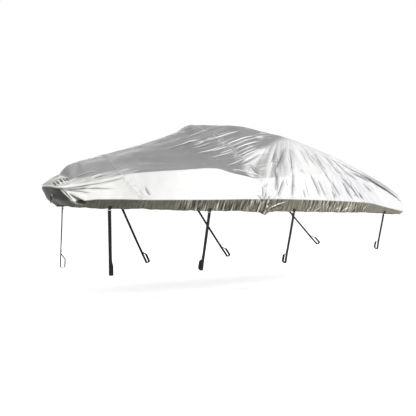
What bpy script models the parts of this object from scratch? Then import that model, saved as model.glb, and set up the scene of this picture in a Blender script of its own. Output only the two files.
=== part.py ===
"""Fitted boat cover: four cloth panels with a drawcord hem and eight tie-down straps.

The cover is hollow.  +X is aft, +Y is starboard and +Z is up.  The origin is the underside of the
cloth at its crown, on the centre line.  Heights in the tables below are measured in metres above
the level of the hem, which CROWN_HEIGHT turns into heights in the model.
"""

import math
from collections import namedtuple

import bmesh
import bpy
import numpy as np
from mathutils import Vector
from mathutils.bvhtree import BVHTree

# ---------------------------------------------------------------- driving dimensions, in metres
CLOTH = 0.002                # thickness of the coated cloth
GAP = 0.0003                 # clearance between two pieces that touch
SEAM_GAP = 0.0010            # width of the slit between two panels along their seam
WELD = 0.00005               # points of a panel this close together are one, as on the centre line
CROWN_HEIGHT = 1.045         # underside of the crown above the hem level

# One row for each section of the port half, from the bow centre line round to the stern centre
# line.  A section runs from the spine (on the centre line) over the crest and the shoulder to the
# belt line, and from there the hem band tucks under.  "h" is the height above the hem level, and
# "tuck" is how far the hem is drawn in from the belt line.
Section = namedtuple(
    "Section",
    "spine_x spine_h crest_x crest_y crest_h shoulder_x shoulder_y shoulder_h belt_x belt_y belt_h hem_h"
    " tuck",
)
SECTIONS = {
    "bow centre":    (-1.98, .558, -2.095, .00, .525, -2.352, .00, .308, -2.290, .00, .160, .100, .100),
    "bow face":      (-1.98, .558, -2.068, -.04, .524, -2.350, -.100, .303, -2.275, -.115, .155, .088, .100),
    "bow corner":    (-1.98, .558, -2.046, -.07, .520, -2.320, -.185, .290, -2.216, -.210, .140, .074, .088),
    "bow cheek":     (-1.97, .560, -2.016, -.11, .509, -2.170, -.240, .300, -2.105, -.335, .138, .064, .070),
    "bow flare":     (-1.95, .572, -1.99, -.17, .510, -2.000, -.400, .338, -1.970, -.500, .155, .056, .061),
    "fore start":    (-1.80, .610, -1.85, -.20, .550, -1.870, -.530, .377, -1.800, -.660, .156, .052, .058),
    "seam 1":        (-1.64, .648, -1.69, -.23, .584, -1.765, -.620, .414, -1.610, -.805, .151, .052, .058),
    "fore slope":    (-1.40, .710, -1.43, -.22, .660, -1.450, -.770, .460, -1.380, -.885, .148, .040, .058),
    "fore end":      (-1.12, .782, -1.12, -.26, .726, -1.140, -.870, .478, -1.120, -.950, .146, .029, .058),
    "crown foot":    (-0.78, .884, -0.78, -.32, .812, -0.760, -.920, .500, -0.780, -.995, .144, .019, .058),
    "slack pocket":  (-0.58, .955, -0.60, -.36, .858, -0.400, -.940, .425, -0.400, -1.02, .146, .011, .058),
    "seam 2":        (-0.40, 1.036, -.36, -.42, .902, -0.085, -.950, .388, -0.050, -1.034, .143, -.012, .058),
    "crown corner":  (0.00, 1.047, 0.00, -.46, 1.018, 0.130, -.958, .398, 0.130, -1.036, .141, -.006, .058),
    "crown side":    (0.30, 1.005, 0.36, -.53, .962, 0.360, -.960, .404, 0.360, -1.036, .135, -.010, .058),
    "crown end":     (0.64, .940, 0.70, -.60, .896, 0.640, -.962, .415, 0.640, -1.035, .126, -.018, .058),
    "after slope":   (0.93, .870, 0.95, -.69, .805, 0.970, -.966, .430, 0.960, -1.031, .112, -.030, .058),
    "after end":     (1.26, .765, 1.27, -.785, .685, 1.310, -.970, .360, 1.310, -1.022, .096, -.041, .058),
    "seam 3":        (1.60, .665, 1.60, -.845, .545, 1.660, -.965, .275, 1.700, -1.005, .072, -.049, .058),
    "quarter":       (1.88, .575, 1.90, -.885, .412, 1.970, -.956, .200, 2.010, -.988, .018, -.064, .058),
    "after quarter": (2.10, .505, 2.18, -.900, .285, 2.250, -.946, .128, 2.280, -.966, -.030, -.080, .058),
    "stern corner":  (2.10, .505, 2.39, -.870, .185, 2.455, -.912, .055, 2.470, -.925, -.058, -.098, .058),
    "stern quarter": (2.10, .505, 2.40, -.640, .300, 2.480, -.680, .100, 2.496, -.690, -.044, -.094, .058),
    "stern hollow":  (2.10, .505, 2.40, -.330, .415, 2.485, -.345, .150, 2.502, -.350, -.036, -.090, .058),
    "stern centre":  (2.10, .505, 2.40, .00, .440, 2.487, .00, .160, 2.504, .00, -.034, -.088, .058),
}

# How far each bend of a section is rounded, along the cloth to either side of it.
CREST_ROUND = 0.11
CREST_ROUND_CENTRE = 0.028   # on the centre line, from where it grows with the crest's width
CREST_ROUND_GROWTH = 0.30
SHOULDER_ROUND = 0.045
BELT_ROUND = 0.018

# Panels, each between two sections: the seams are where the maker joined the widths of cloth.
Panel = namedtuple("Panel", "name start end rows grey")
PANELS = [
    Panel("panel_bow", "bow centre", "seam 1", 12, 0.30),
    Panel("panel_fore", "seam 1", "seam 2", 12, 0.31),
    Panel("panel_mid", "seam 2", "seam 3", 25, 0.33),
    Panel("panel_stern", "seam 3", "stern centre", 14, 0.36),
]

# Main folds of the cloth.  "x" and "h" place the two ends on the side of the cover, "width" is
# the half width of the fold and "rise" is how far it stands out (or in, where it is negative).
Fold = namedtuple("Fold", "x0 h0 x1 h1 width rise")
PORT_FOLDS = [
    Fold(0.66, 0.80, 0.20, 0.16, 0.070, -.016),
    Fold(0.68, 0.80, 0.42, 0.14, 0.075, 0.014),
    Fold(0.72, 0.78, 0.66, 0.12, 0.070, -.015),
    Fold(0.78, 0.76, 0.90, 0.12, 0.075, 0.013),
    Fold(0.90, 0.72, 1.16, 0.12, 0.065, -.012),
    Fold(1.12, 0.62, 1.52, 0.12, 0.065, 0.011),
    Fold(1.45, 0.48, 1.68, 0.12, 0.060, -.010),
    Fold(-.60, 0.50, -.12, 0.46, 0.080, -.020),
    Fold(-2.24, 0.27, -1.78, 0.40, 0.060, 0.008),
    Fold(-2.22, 0.24, -1.85, 0.28, 0.055, -.010),
    Fold(-.62, 0.80, -.10, 0.93, 0.060, -.008),
    Fold(-1.00, 0.70, -.35, 0.76, 0.070, 0.007),
]
STARBOARD_FOLDS = [
    Fold(0.64, 0.80, 0.10, 0.16, 0.075, -.013),
    Fold(0.68, 0.80, 0.52, 0.14, 0.080, 0.014),
    Fold(0.74, 0.78, 0.80, 0.12, 0.075, -.013),
    Fold(0.88, 0.74, 1.14, 0.12, 0.070, 0.012),
    Fold(1.14, 0.62, 1.46, 0.12, 0.065, -.010),
    Fold(-.55, 0.50, -.05, 0.45, 0.080, -.014),
    Fold(-2.23, 0.26, -1.80, 0.33, 0.055, -.009),
    Fold(-.80, 0.76, -.15, 0.90, 0.065, -.008),
]

FIRST_FOLDED = 4             # the cloth over the crown, within this many points, is pulled smooth

# Tie-down straps of the port side: where each leaves the hem and where its loop hangs.
Strap = namedtuple("Strap", "label hem_x loop_x loop_y loop_h")
STRAPS = [
    Strap("1", -1.866, -1.880, -.580, -.668),
    Strap("2", -0.814, -0.665, -.580, -.688),
    Strap("3", 0.422, 0.640, -.580, -.676),
    Strap("4", 2.080, 2.330, -.580, -.580),
]
WEBBING_WIDTH = 0.038
WEBBING = 0.0018             # thickness of the webbing
LOOP_DEPTH = 0.056           # gap of a strap's bottom loop, front to back
LOOP_HEIGHT = 0.150          # and from its bottom to where its end is sewn back
LOOP_BEND = 0.012            # radius of its two lower corners
LOOP_SLANT = 0.060           # how far above its end the back of the loop starts to slant forward
LOOP_STEP = 0.010            # how far above that seam the loop's back meets the strap
STRAP_TAIL = 0.060           # length of a strap's folded and sewn ends
TAB_LENGTH = 0.042           # the sewn tab above each ring
TAB_WIDTH = 0.036
TAB_FRONT_STEP = 0.004       # how much shorter its front layer is than its back one
TAB_FLAT = 0.006             # how far the cloth is flat past each side of a tab
ROW_CLEARANCE = 0.02         # other rows of a panel's points keep this far from those two
BAR_DROP = 0.010             # ring's upper bar below the edge of the hem
FOLD_CLEAR = 0.014           # distance from a ring's bar to where the folded webbing lies flat
RING_WIRE = 0.0021           # radius of a ring's wire
RING_WIDTH = 0.053           # width of a ring between the middles of its wire
RING_HEIGHT = 0.0125
RING_CORNER = 0.006

# The drawcord comes out of an eyelet in the front of the bow and hangs in its lock.
EYELET_ALONG = 0.055         # distance from the centre line, round the bow
EYELET_HEIGHT = 0.196
EYELET_RADIUS = 0.0105       # of the middle of its rolled rim
EYELET_RIM = 0.0022
CORD_RADIUS = 0.0025
CORD_STRAND_START = 0.0006   # clearance between the ends of the cord and the cloth
CORD_STANDOFF = 0.017        # how far in front of the cloth the lock hangs
CORD_SPREAD = 0.014          # distance between the two strands in the lock
LOCK_SIZE = (0.018, 0.030, 0.034)
LOCK_DROP = 0.041            # middle of the lock below the eyelet
LOCK_ROUND = 0.004           # rounding of its edges
CORD_LOOP = 0.032            # length of the loop below the lock
CORD_TURN = 0.0105           # radius of the loop's turn
EYELET_AHEAD = 0.010         # the eyelet is sought this far ahead of the flat rows of the cloth


# ---------------------------------------------------------------- small helpers
def clear_scene():
    """Removes every object of the scene that the file was opened with."""
    for item in list(bpy.data.objects):
        bpy.data.objects.remove(item, do_unlink=True)


def new_collection(name):
    """Adds a collection to the scene."""
    group = bpy.data.collections.new(name)
    bpy.context.scene.collection.children.link(group)
    return group


def move_to(item, group):
    """Moves an object into one collection."""
    for holder in list(item.users_collection):
        holder.objects.unlink(item)
    group.objects.link(item)


def material(name, colour, roughness, metallic=0.0):
    """Returns the Principled material of a piece."""
    made = bpy.data.materials.new(name)
    made.use_nodes = True
    shader = made.node_tree.nodes["Principled BSDF"]
    shader.inputs["Base Color"].default_value = (*colour, 1.0)
    shader.inputs["Roughness"].default_value = roughness
    shader.inputs["Metallic"].default_value = metallic
    return made


def add_mesh(name, vertices, faces, group, finish, weld=None):
    """Adds a mesh object; weld is the distance within which its points are merged."""
    mesh = bpy.data.meshes.new(name)
    mesh.from_pydata([tuple(v) for v in vertices], [], faces)
    if weld:
        shape = bmesh.new()
        shape.from_mesh(mesh)
        bmesh.ops.remove_doubles(shape, verts=shape.verts, dist=weld)
        bmesh.ops.dissolve_degenerate(shape, edges=shape.edges, dist=weld)
        shape.to_mesh(mesh)
        shape.free()
    mesh.materials.append(finish)
    made = bpy.data.objects.new(name, mesh)
    group.objects.link(made)
    return made


def seat_on(piece, guess):
    """Returns the point of a piece's surface nearest to a guess, and the direction out of it."""
    graph = bpy.context.evaluated_depsgraph_get()
    tree = BVHTree.FromObject(piece, graph)
    place, out, _, _ = tree.find_nearest(guess)
    return place, out


def solidify(piece, thickness, offset):
    """Gives an open sheet its thickness."""
    modifier = piece.modifiers.new("Thickness", "SOLIDIFY")
    modifier.thickness = thickness
    modifier.offset = offset
    modifier.use_even_offset = True
    modifier.use_rim = True
    return modifier


def smooth_slopes(at, values):
    """Returns the slopes of a curve through the values that never overshoots them."""
    step = np.diff(at)
    rise = np.diff(values) / step
    slopes = np.zeros(len(values))
    slopes[0], slopes[-1] = rise[0], rise[-1]
    for i in range(1, len(values) - 1):
        if rise[i - 1] * rise[i] > 0:
            near = 2 * step[i] + step[i - 1]
            far = step[i] + 2 * step[i - 1]
            slopes[i] = (near + far) / (near / rise[i - 1] + far / rise[i])
    return slopes


def smooth_value(at, values, slopes, where):
    """Reads the curve with those slopes at one place."""
    i = int(np.clip(np.searchsorted(at, where) - 1, 0, len(at) - 2))
    step = at[i + 1] - at[i]
    t = (where - at[i]) / step
    start = (1 + 2 * t) * (1 - t) ** 2 * values[i] + t * (1 - t) ** 2 * step * slopes[i]
    end = t * t * (3 - 2 * t) * values[i + 1] + t * t * (t - 1) * step * slopes[i + 1]
    return start + end


# ---------------------------------------------------------------- the surface of the cover
class Surface:
    """The outer face of the port half, read anywhere along its sections and round its girth."""

    def __init__(self):
        rows = np.array(list(SECTIONS.values()))
        first = Section._fields.index("belt_x")
        belt = rows[:, first:first + 2]
        step = np.linalg.norm(np.diff(belt, axis=0), axis=1)
        self.at = np.concatenate([[0.0], np.cumsum(step)])
        self.rows = rows
        self.slopes = [smooth_slopes(self.at, rows[:, k]) for k in range(rows.shape[1])]
        self.place = dict(zip(SECTIONS, self.at))

    def section(self, where):
        """Returns the section at a distance along the belt line from the bow centre line."""
        values = [
            smooth_value(self.at, self.rows[:, k], self.slopes[k], where)
            for k in range(self.rows.shape[1])
        ]
        return Section(*values)

    def at_belt_x(self, x):
        """Returns the distance along the belt line of the side's point with this x."""
        low, high = self.place["bow corner"], self.place["after quarter"]
        for _ in range(40):
            middle = 0.5 * (low + high)
            if self.section(middle).belt_x < x:
                low = middle
            else:
                high = middle
        return 0.5 * (low + high)

    def outline(self, where):
        """Returns the section's points in a row, from the spine to the edge of the hem."""
        row = self.section(where)
        spine = Vector((row.spine_x, 0.0, row.spine_h))
        crest = Vector((row.crest_x, row.crest_y, row.crest_h))
        shoulder = Vector((row.shoulder_x, row.shoulder_y, row.shoulder_h))
        belt = Vector((row.belt_x, row.belt_y, row.belt_h))
        inward = Vector((row.spine_x - row.belt_x, -row.belt_y, 0.0)).normalized()
        hem = belt + inward * row.tuck
        hem.z = row.hem_h
        crest_round = min(CREST_ROUND, CREST_ROUND_CENTRE - CREST_ROUND_GROWTH * row.crest_y)
        points = over_spine(spine, bend_start(crest, spine, crest_round), (0.0, 0.25, 0.5, 0.75))
        points += bend(spine, crest, shoulder, crest_round, (0.0, 0.5, 1.0))
        points += between(points[-1], bend_start(shoulder, crest, SHOULDER_ROUND), 2)
        points += bend(crest, shoulder, belt, SHOULDER_ROUND, (0.0, 0.5, 1.0))
        points += between(points[-1], bend_start(belt, shoulder, BELT_ROUND), 1)
        points += bend(shoulder, belt, hem, BELT_ROUND, (0.0, 1.0))
        points += between(points[-1], hem, 1)
        points.append(hem)
        return points


def bend_start(corner, neighbour, reach):
    """Returns the point where the rounding of a corner starts, towards its neighbour."""
    way = neighbour - corner
    return corner + way * min(reach / max(way.length, 1e-6), 0.45)


def bend(before, corner, after, reach, steps):
    """Rounds a corner with a short curve."""
    first = bend_start(corner, before, reach)
    last = bend_start(corner, after, reach)
    return [first * (1 - t) ** 2 + corner * 2 * t * (1 - t) + last * t * t for t in steps]


def over_spine(spine, last, steps):
    """Carries the cloth from the centre line, where it lies level, to the start of the crest."""
    way = last - spine
    level = Vector((way.x, way.y, 0.0))
    points = []
    for t in steps:
        blend = t * t * (3 - 2 * t)
        start = t * (1 - t) ** 2
        end = t * t * (t - 1)
        points.append(spine + way * blend + level * start + way * end)
    return points


def between(first, last, count):
    """Returns points in even steps between two points, without the two."""
    return [first.lerp(last, (k + 1) / (count + 1)) for k in range(count)]


def fold_rise(point, folds):
    """Returns how far the folds move a point of the cloth out or in."""
    total = 0.0
    for fold in folds:
        start = Vector((fold.x0, fold.h0))
        way = Vector((fold.x1, fold.h1)) - start
        here = Vector((point.x, point.z)) - start
        along = here.dot(way) / way.length_squared
        if not 0.0 < along < 1.0:
            continue
        across = abs(here.x * way.y - here.y * way.x) / way.length
        if across < fold.width:
            ends = math.sin(math.pi * along) ** 0.6
            total += fold.rise * ends * 0.5 * (1 + math.cos(math.pi * across / fold.width))
    return total


def half_grid(surface, places, side, folds):
    """Returns the points of one half of a panel, a row for each place along the belt line."""
    grid = [surface.outline(where) for where in places]
    moved = []
    for i, row in enumerate(grid):
        new_row = []
        for k, point in enumerate(row):
            along = grid[min(i + 1, len(grid) - 1)][k] - grid[max(i - 1, 0)][k]
            down = row[min(k + 1, len(row) - 1)] - row[max(k - 1, 0)]
            normal = along.cross(down)
            if normal.length > 1e-9 and k > FIRST_FOLDED:
                point = point - normal.normalized() * fold_rise(point, folds)
            new_row.append(Vector((point.x, point.y * side, point.z - CROWN_HEIGHT)))
        moved.append(new_row)
    return moved


def panel_places(surface, panel):
    """Returns where a panel's rows stand: even steps, with a flat stretch behind each strap's tab."""
    start = surface.place[panel.start]
    end = surface.place[panel.end]
    first = start + (SEAM_GAP / 2 if panel.start.startswith("seam") else 0.0)
    last = end - (SEAM_GAP / 2 if panel.end.startswith("seam") else 0.0)
    places = list(np.linspace(first, last, panel.rows))
    for strap in STRAPS:
        middle = surface.at_belt_x(strap.hem_x)
        half = TAB_WIDTH / 2 + TAB_FLAT
        if first < middle < last:
            places = [p for p in places if abs(p - middle) > half + ROW_CLEARANCE]
            places += [middle - half, middle + half]
    crown = surface.place["crown corner"]
    if first < crown < last:
        places = [p for p in places if abs(p - crown) > ROW_CLEARANCE] + [crown]
    return sorted(places)


def build_panel(surface, panel, group):
    """Builds one width of cloth as a sheet over both halves of the cover."""
    vertices, faces = [], []
    places = panel_places(surface, panel)
    for side, folds in ((1, PORT_FOLDS), (-1, STARBOARD_FOLDS)):
        grid = half_grid(surface, places, side, folds)
        base, width = len(vertices), len(grid[0])
        for row in grid:
            vertices += row
        for i in range(len(grid) - 1):
            for k in range(width - 1):
                corner = base + i * width + k
                quad = [corner, corner + width, corner + width + 1, corner + 1]
                faces.append(quad[::-1] if side > 0 else quad)
    grey = panel.grey
    finish = material(f"{panel.name}_cloth", (grey, grey, grey * 1.02), 0.42)
    sheet = add_mesh(panel.name, vertices, faces, group, finish, weld=WELD)
    solidify(sheet, CLOTH, -1.0)
    return sheet


# ---------------------------------------------------------------- straps, tabs, rings
class StrapFrame:
    """The directions at one strap: up the hem band, out of it, along the hem and down the strap."""

    def __init__(self, surface, strap, side):
        middle = surface.at_belt_x(strap.hem_x)
        half = TAB_WIDTH / 2 + TAB_FLAT
        fore = surface.outline(middle - half)
        aft = surface.outline(middle + half)
        hem = (fore[-1] + aft[-1]) / 2
        upper = (fore[-3] + aft[-3]) / 2
        self.up = self.place(upper - hem, side, 0.0).normalized()
        self.along = self.place(aft[-1] - fore[-1], side, 0.0).normalized()
        self.out = self.along.cross(self.up) * side
        self.out.normalize()
        self.hem = self.place(hem, side, CROWN_HEIGHT)
        clear = GAP * 3 + WEBBING
        self.bar = self.hem + self.out * (clear + RING_WIRE + GAP) - self.up * BAR_DROP
        self.loop = Vector((strap.loop_x, strap.loop_y * side, strap.loop_h - CROWN_HEIGHT))
        self.down = (self.loop - self.bar).normalized()
        self.hang = (self.down - self.along * self.down.dot(self.along)).normalized()
        self.front = self.along.cross(self.hang).normalized()
        if self.front.dot(self.out) < 0:
            self.front = -self.front
        self.length = (self.loop - self.bar).length

    @staticmethod
    def place(point, side, lower):
        """Moves a point of the port half to its side, and down to the model's heights."""
        return Vector((point.x, point.y * side, point.z - lower))


def ribbon(name, path, wide, width, thickness, group, finish):
    """Builds a flat band of webbing that follows a path."""
    vertices, faces = [], []
    for point in path:
        vertices += [point - wide * width / 2, point + wide * width / 2]
    for i in range(len(path) - 1):
        faces.append([2 * i, 2 * i + 1, 2 * i + 3, 2 * i + 2])
    band = add_mesh(name, vertices, faces, group, finish)
    solidify(band, thickness, 0.0)
    return band


def turn(centre, first, second, radius, start, stop, count):
    """Returns points on an arc round a centre, in the plane of two directions."""
    points = []
    for k in range(count + 1):
        angle = math.radians(start + (stop - start) * k / count)
        points.append(centre + first * radius * math.cos(angle) + second * radius * math.sin(angle))
    return points


def build_tab(name, frame, group, finish):
    """Builds the sewn tab: a short band folded round the ring's upper bar."""
    radius = RING_WIRE + GAP + WEBBING / 2
    back = frame.bar - frame.out * radius
    front_gap = WEBBING + GAP
    path = [back + frame.up * TAB_LENGTH]
    path += turn(frame.bar, -frame.out, -frame.up, radius, 0, 180, 8)
    path.append(back + frame.out * front_gap + frame.up * FOLD_CLEAR)
    path.append(back + frame.out * front_gap + frame.up * (TAB_LENGTH - TAB_FRONT_STEP))
    return ribbon(name, path, frame.along, TAB_WIDTH, WEBBING, group, finish)


def build_ring(name, frame, group, finish):
    """Builds the wire ring that joins tab and strap."""
    middle = frame.bar + frame.hang * RING_HEIGHT / 2
    half_width, half_height = RING_WIDTH / 2, RING_HEIGHT / 2
    path = []
    for wide_sign, down_sign, start in ((1, -1, -90), (1, 1, 0), (-1, 1, 90), (-1, -1, 180)):
        corner = middle + frame.along * wide_sign * (half_width - RING_CORNER)
        corner += frame.hang * down_sign * (half_height - RING_CORNER)
        path += turn(corner, frame.along, frame.hang, RING_CORNER, start, start + 90, 3)
    curve = bpy.data.curves.new(name, "CURVE")
    curve.dimensions = "3D"
    spline = curve.splines.new("POLY")
    spline.points.add(len(path) - 1)
    for target, point in zip(spline.points, path):
        target.co = (*point, 1.0)
    spline.use_cyclic_u = True
    curve.bevel_depth = RING_WIRE
    curve.bevel_resolution = 1
    curve.materials.append(finish)
    ring = bpy.data.objects.new(name, curve)
    group.objects.link(ring)
    return ring


def build_strap(name, frame, group, finish):
    """Builds one strap: its top is folded round the ring, its bottom is sewn back into a loop."""
    radius = RING_WIRE + GAP + WEBBING / 2
    lower_bar = frame.bar + frame.hang * RING_HEIGHT
    fold = frame.front * (WEBBING + GAP)
    depth = frame.front * (LOOP_DEPTH - 2 * LOOP_BEND)
    face = lower_bar + frame.front * radius
    run = (frame.length - RING_HEIGHT) * frame.down
    closing = frame.down * LOOP_HEIGHT
    tail = frame.down * STRAP_TAIL
    path = [face - fold + tail]
    path.append(face - fold + frame.down * FOLD_CLEAR)
    path += turn(lower_bar, -frame.front, -frame.hang, radius, 0, 180, 8)
    path.append(face + frame.down * FOLD_CLEAR)
    path.append(face + run - closing)
    corner = face + run - frame.front * LOOP_BEND - frame.hang * LOOP_BEND
    path += turn(corner, frame.front, frame.hang, LOOP_BEND, 0, 90, 3)
    path += turn(corner - depth, frame.hang, -frame.front, LOOP_BEND, 0, 90, 3)
    path.append(path[-1] - frame.down * (LOOP_HEIGHT - LOOP_SLANT))
    path.append(face - fold + run - closing - frame.down * LOOP_STEP)
    path.append(face - fold + run - closing - tail)
    return ribbon(name, path, frame.along, WEBBING_WIDTH, WEBBING, group, finish)


# ---------------------------------------------------------------- drawcord, eyelet and lock at the bow
class BowFitting:
    """Where the drawcord leaves the cloth: the eyelet's place, and the directions out and across."""

    def __init__(self, surface, panel):
        places = panel_places(surface, PANELS[0])
        i = int(np.searchsorted(places, EYELET_ALONG))
        fore, aft = surface.outline(places[i - 1]), surface.outline(places[i])
        share = (EYELET_ALONG - places[i - 1]) / (places[i] - places[i - 1])
        line = [a.lerp(b, share) for a, b in zip(fore, aft)]
        k = next(j for j in range(1, len(line)) if line[j].z < EYELET_HEIGHT)
        down = line[k] - line[k - 1]
        level = (EYELET_HEIGHT - line[k - 1].z) / down.z
        guess = line[k - 1] + down * level
        guess += Vector((-EYELET_AHEAD, 0.0, -CROWN_HEIGHT))
        self.place, self.out = seat_on(panel, guess)
        self.level = Vector((0.0, 0.0, 1.0)).cross(self.out).normalized()
        self.across = Vector((0.0, 1.0, 0.0))
        self.ahead = Vector((-1.0, 0.0, 0.0))
        if self.level.dot(self.across) < 0:
            self.level = -self.level

    def at(self, ahead, across, up):
        """Returns a point in front of the eyelet, square to the cover."""
        return self.place + self.ahead * ahead + self.across * across + Vector((0.0, 0.0, up))

    def near(self, out, across):
        """Returns a point straight out of the cloth, in the eyelet."""
        return self.place + self.out * out + self.level * across


def build_eyelet(fitting, group, finish):
    """Builds the rolled metal eyelet that the drawcord comes out of."""
    bpy.ops.mesh.primitive_torus_add(
        major_radius=EYELET_RADIUS, minor_radius=EYELET_RIM, major_segments=20, minor_segments=8)
    eyelet = bpy.context.active_object
    eyelet.name = "eyelet"
    eyelet.rotation_mode = "QUATERNION"
    eyelet.rotation_quaternion = fitting.out.to_track_quat("Z", "Y")
    eyelet.location = fitting.place + fitting.out * (EYELET_RIM + 2 * GAP)
    move_to(eyelet, group)
    eyelet.data.materials.append(finish)
    return eyelet


def build_lock(fitting, group, cutters, finish):
    """Builds the drawcord's lock, with a hole for each strand."""
    bpy.ops.mesh.primitive_cube_add(size=1.0, location=fitting.at(CORD_STANDOFF, 0.0, -LOCK_DROP))
    lock = bpy.context.active_object
    lock.name = "cord_lock"
    lock.scale = LOCK_SIZE
    bpy.ops.object.transform_apply(location=False, rotation=False, scale=True)
    move_to(lock, group)
    lock.data.materials.append(finish)
    rounding = lock.modifiers.new("Rounded edges", "BEVEL")
    rounding.width = LOCK_ROUND
    rounding.segments = 2
    for side, side_name in ((-1, "port"), (1, "starboard")):
        bpy.ops.mesh.primitive_cylinder_add(
            vertices=12, radius=CORD_RADIUS + 2 * GAP, depth=LOCK_SIZE[2] * 2,
            location=fitting.at(CORD_STANDOFF, side * CORD_SPREAD / 2, -LOCK_DROP))
        cutter = bpy.context.active_object
        cutter.name = f"cutter_cord_hole_{side_name}"
        cutter.hide_render = True
        cutter.display_type = "WIRE"
        move_to(cutter, cutters)
        hole = lock.modifiers.new("Cord hole", "BOOLEAN")
        hole.operation = "DIFFERENCE"
        hole.object = cutter
    return lock


def smooth_through(route, per_leg):
    """Reads a smooth curve that runs through every point of a route."""
    points = []
    for k in range(len(route) - 1):
        first, last = route[k], route[k + 1]
        before = route[max(k - 1, 0)]
        after = route[min(k + 2, len(route) - 1)]
        start, end = (last - before) / 2, (after - first) / 2
        for step in range(per_leg):
            t = step / per_leg
            rise = t * t * (3 - 2 * t)
            point = first.lerp(last, rise) + start * t * (1 - t) ** 2 + end * t * t * (t - 1)
            points.append(point)
    return points + [route[-1]]


def cord_route(fitting):
    """Returns the drawcord's route: out of the eyelet, through the lock, round and back."""
    half = CORD_SPREAD / 2
    top = -LOCK_DROP + LOCK_SIZE[2] / 2
    bottom = -LOCK_DROP - LOCK_SIZE[2] / 2
    middle = bottom - CORD_LOOP + CORD_TURN
    half_turn = CORD_TURN * math.sqrt(0.5)
    strand = [
        (CORD_STANDOFF * 0.85, half * 0.6, -CORD_STANDOFF * 0.25),
        (CORD_STANDOFF, half, top + CORD_RADIUS),
        (CORD_STANDOFF, half, bottom),
        (CORD_STANDOFF, CORD_TURN, middle),
        (CORD_STANDOFF, half_turn, middle - half_turn),
    ]
    beside = CORD_RADIUS + GAP
    start = [CORD_STRAND_START, CORD_STRAND_START + CORD_RADIUS * 2.5]
    route = [fitting.near(out, beside) for out in start]
    route += [fitting.at(ahead, across, up) for ahead, across, up in strand]
    route.append(fitting.at(CORD_STANDOFF, 0.0, bottom - CORD_LOOP))
    route += [fitting.at(ahead, -across, up) for ahead, across, up in reversed(strand)]
    route += [fitting.near(out, -beside) for out in reversed(start)]
    return smooth_through(route, 2)


def build_drawcord(fitting, group, finish):
    """Builds the drawcord's stretch outside the cloth as a round tube along its route."""
    route = cord_route(fitting)
    curve = bpy.data.curves.new("drawcord", "CURVE")
    curve.dimensions = "3D"
    spline = curve.splines.new("POLY")
    spline.points.add(len(route) - 1)
    for target, point in zip(spline.points, route):
        target.co = (*point, 1.0)
    curve.bevel_depth = CORD_RADIUS
    curve.bevel_resolution = 2
    curve.use_fill_caps = True
    curve.materials.append(finish)
    cord = bpy.data.objects.new("drawcord", curve)
    group.objects.link(cord)
    return cord


def main():
    """Builds every piece of the cover."""
    clear_scene()
    group = new_collection("Boat cover")
    cutters = new_collection("Cutters")
    surface = Surface()
    sheets = [build_panel(surface, panel, group) for panel in PANELS]
    webbing = material("black_webbing", (0.020, 0.020, 0.022), 0.75)
    steel = material("plated_steel", (0.62, 0.62, 0.63), 0.30, 1.0)
    plastic = material("black_plastic", (0.020, 0.020, 0.020), 0.45)
    for side, side_name in ((1, "port"), (-1, "starboard")):
        for strap in STRAPS:
            frame = StrapFrame(surface, strap, side)
            build_tab(f"tab_{side_name}_{strap.label}", frame, group, webbing)
            build_ring(f"ring_{side_name}_{strap.label}", frame, group, steel)
            build_strap(f"strap_{side_name}_{strap.label}", frame, group, webbing)
    fitting = BowFitting(surface, sheets[0])
    build_eyelet(fitting, group, steel)
    build_lock(fitting, group, cutters, plastic)
    build_drawcord(fitting, group, webbing)


main()
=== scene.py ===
"""Fitted boat cover: four cloth panels with gathered hems, looped webbing straps and a drawcord.

Lengths are in metres.  +X is aft, +Y is starboard and +Z is up, and the origin is the underside of
the cloth at its crown.  Heights named "h" are above the level of the hem.
"""

from __future__ import annotations

import logging
import math
from dataclasses import dataclass, field
from enum import Enum, IntEnum
from typing import Callable, Iterable, NamedTuple, Optional, Sequence, Union

import bmesh
import bpy
import numpy as np
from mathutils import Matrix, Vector


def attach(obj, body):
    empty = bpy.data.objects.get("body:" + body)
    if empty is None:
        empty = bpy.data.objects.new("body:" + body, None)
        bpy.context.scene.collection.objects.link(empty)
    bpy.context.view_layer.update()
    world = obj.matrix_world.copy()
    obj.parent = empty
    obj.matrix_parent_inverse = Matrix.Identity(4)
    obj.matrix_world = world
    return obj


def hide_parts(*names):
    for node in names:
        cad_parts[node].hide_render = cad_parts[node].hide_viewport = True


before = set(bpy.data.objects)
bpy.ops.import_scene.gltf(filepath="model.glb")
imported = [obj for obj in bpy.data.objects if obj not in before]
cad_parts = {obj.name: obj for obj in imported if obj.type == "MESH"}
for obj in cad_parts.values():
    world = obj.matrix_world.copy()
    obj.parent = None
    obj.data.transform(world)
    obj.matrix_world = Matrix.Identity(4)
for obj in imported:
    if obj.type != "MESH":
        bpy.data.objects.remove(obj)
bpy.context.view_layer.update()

LOG = logging.getLogger("boat_cover")
BODY = "root"
SAME_PLACE = 20000  # points that agree to so many parts of a metre are one
CROWN_HEIGHT = 1.045
Colour = tuple[float, float, float]
Direction = tuple[float, float, float]
Operand = Union["Signal", float]


# ---- shader tools
def operator(operation: str, swapped: bool = False) -> Callable[[Signal, Operand], Signal]:
    """Returns an operator that adds one Math node; a swapped one has its own signal last."""
    def work(self: Signal, other: Operand) -> Signal:
        """Returns the Math node's result."""
        values = (other, self) if swapped else (self, other)
        return self.shader.node("ShaderNodeMath", {"operation": operation}, dict(enumerate(values)))

    return work


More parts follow.
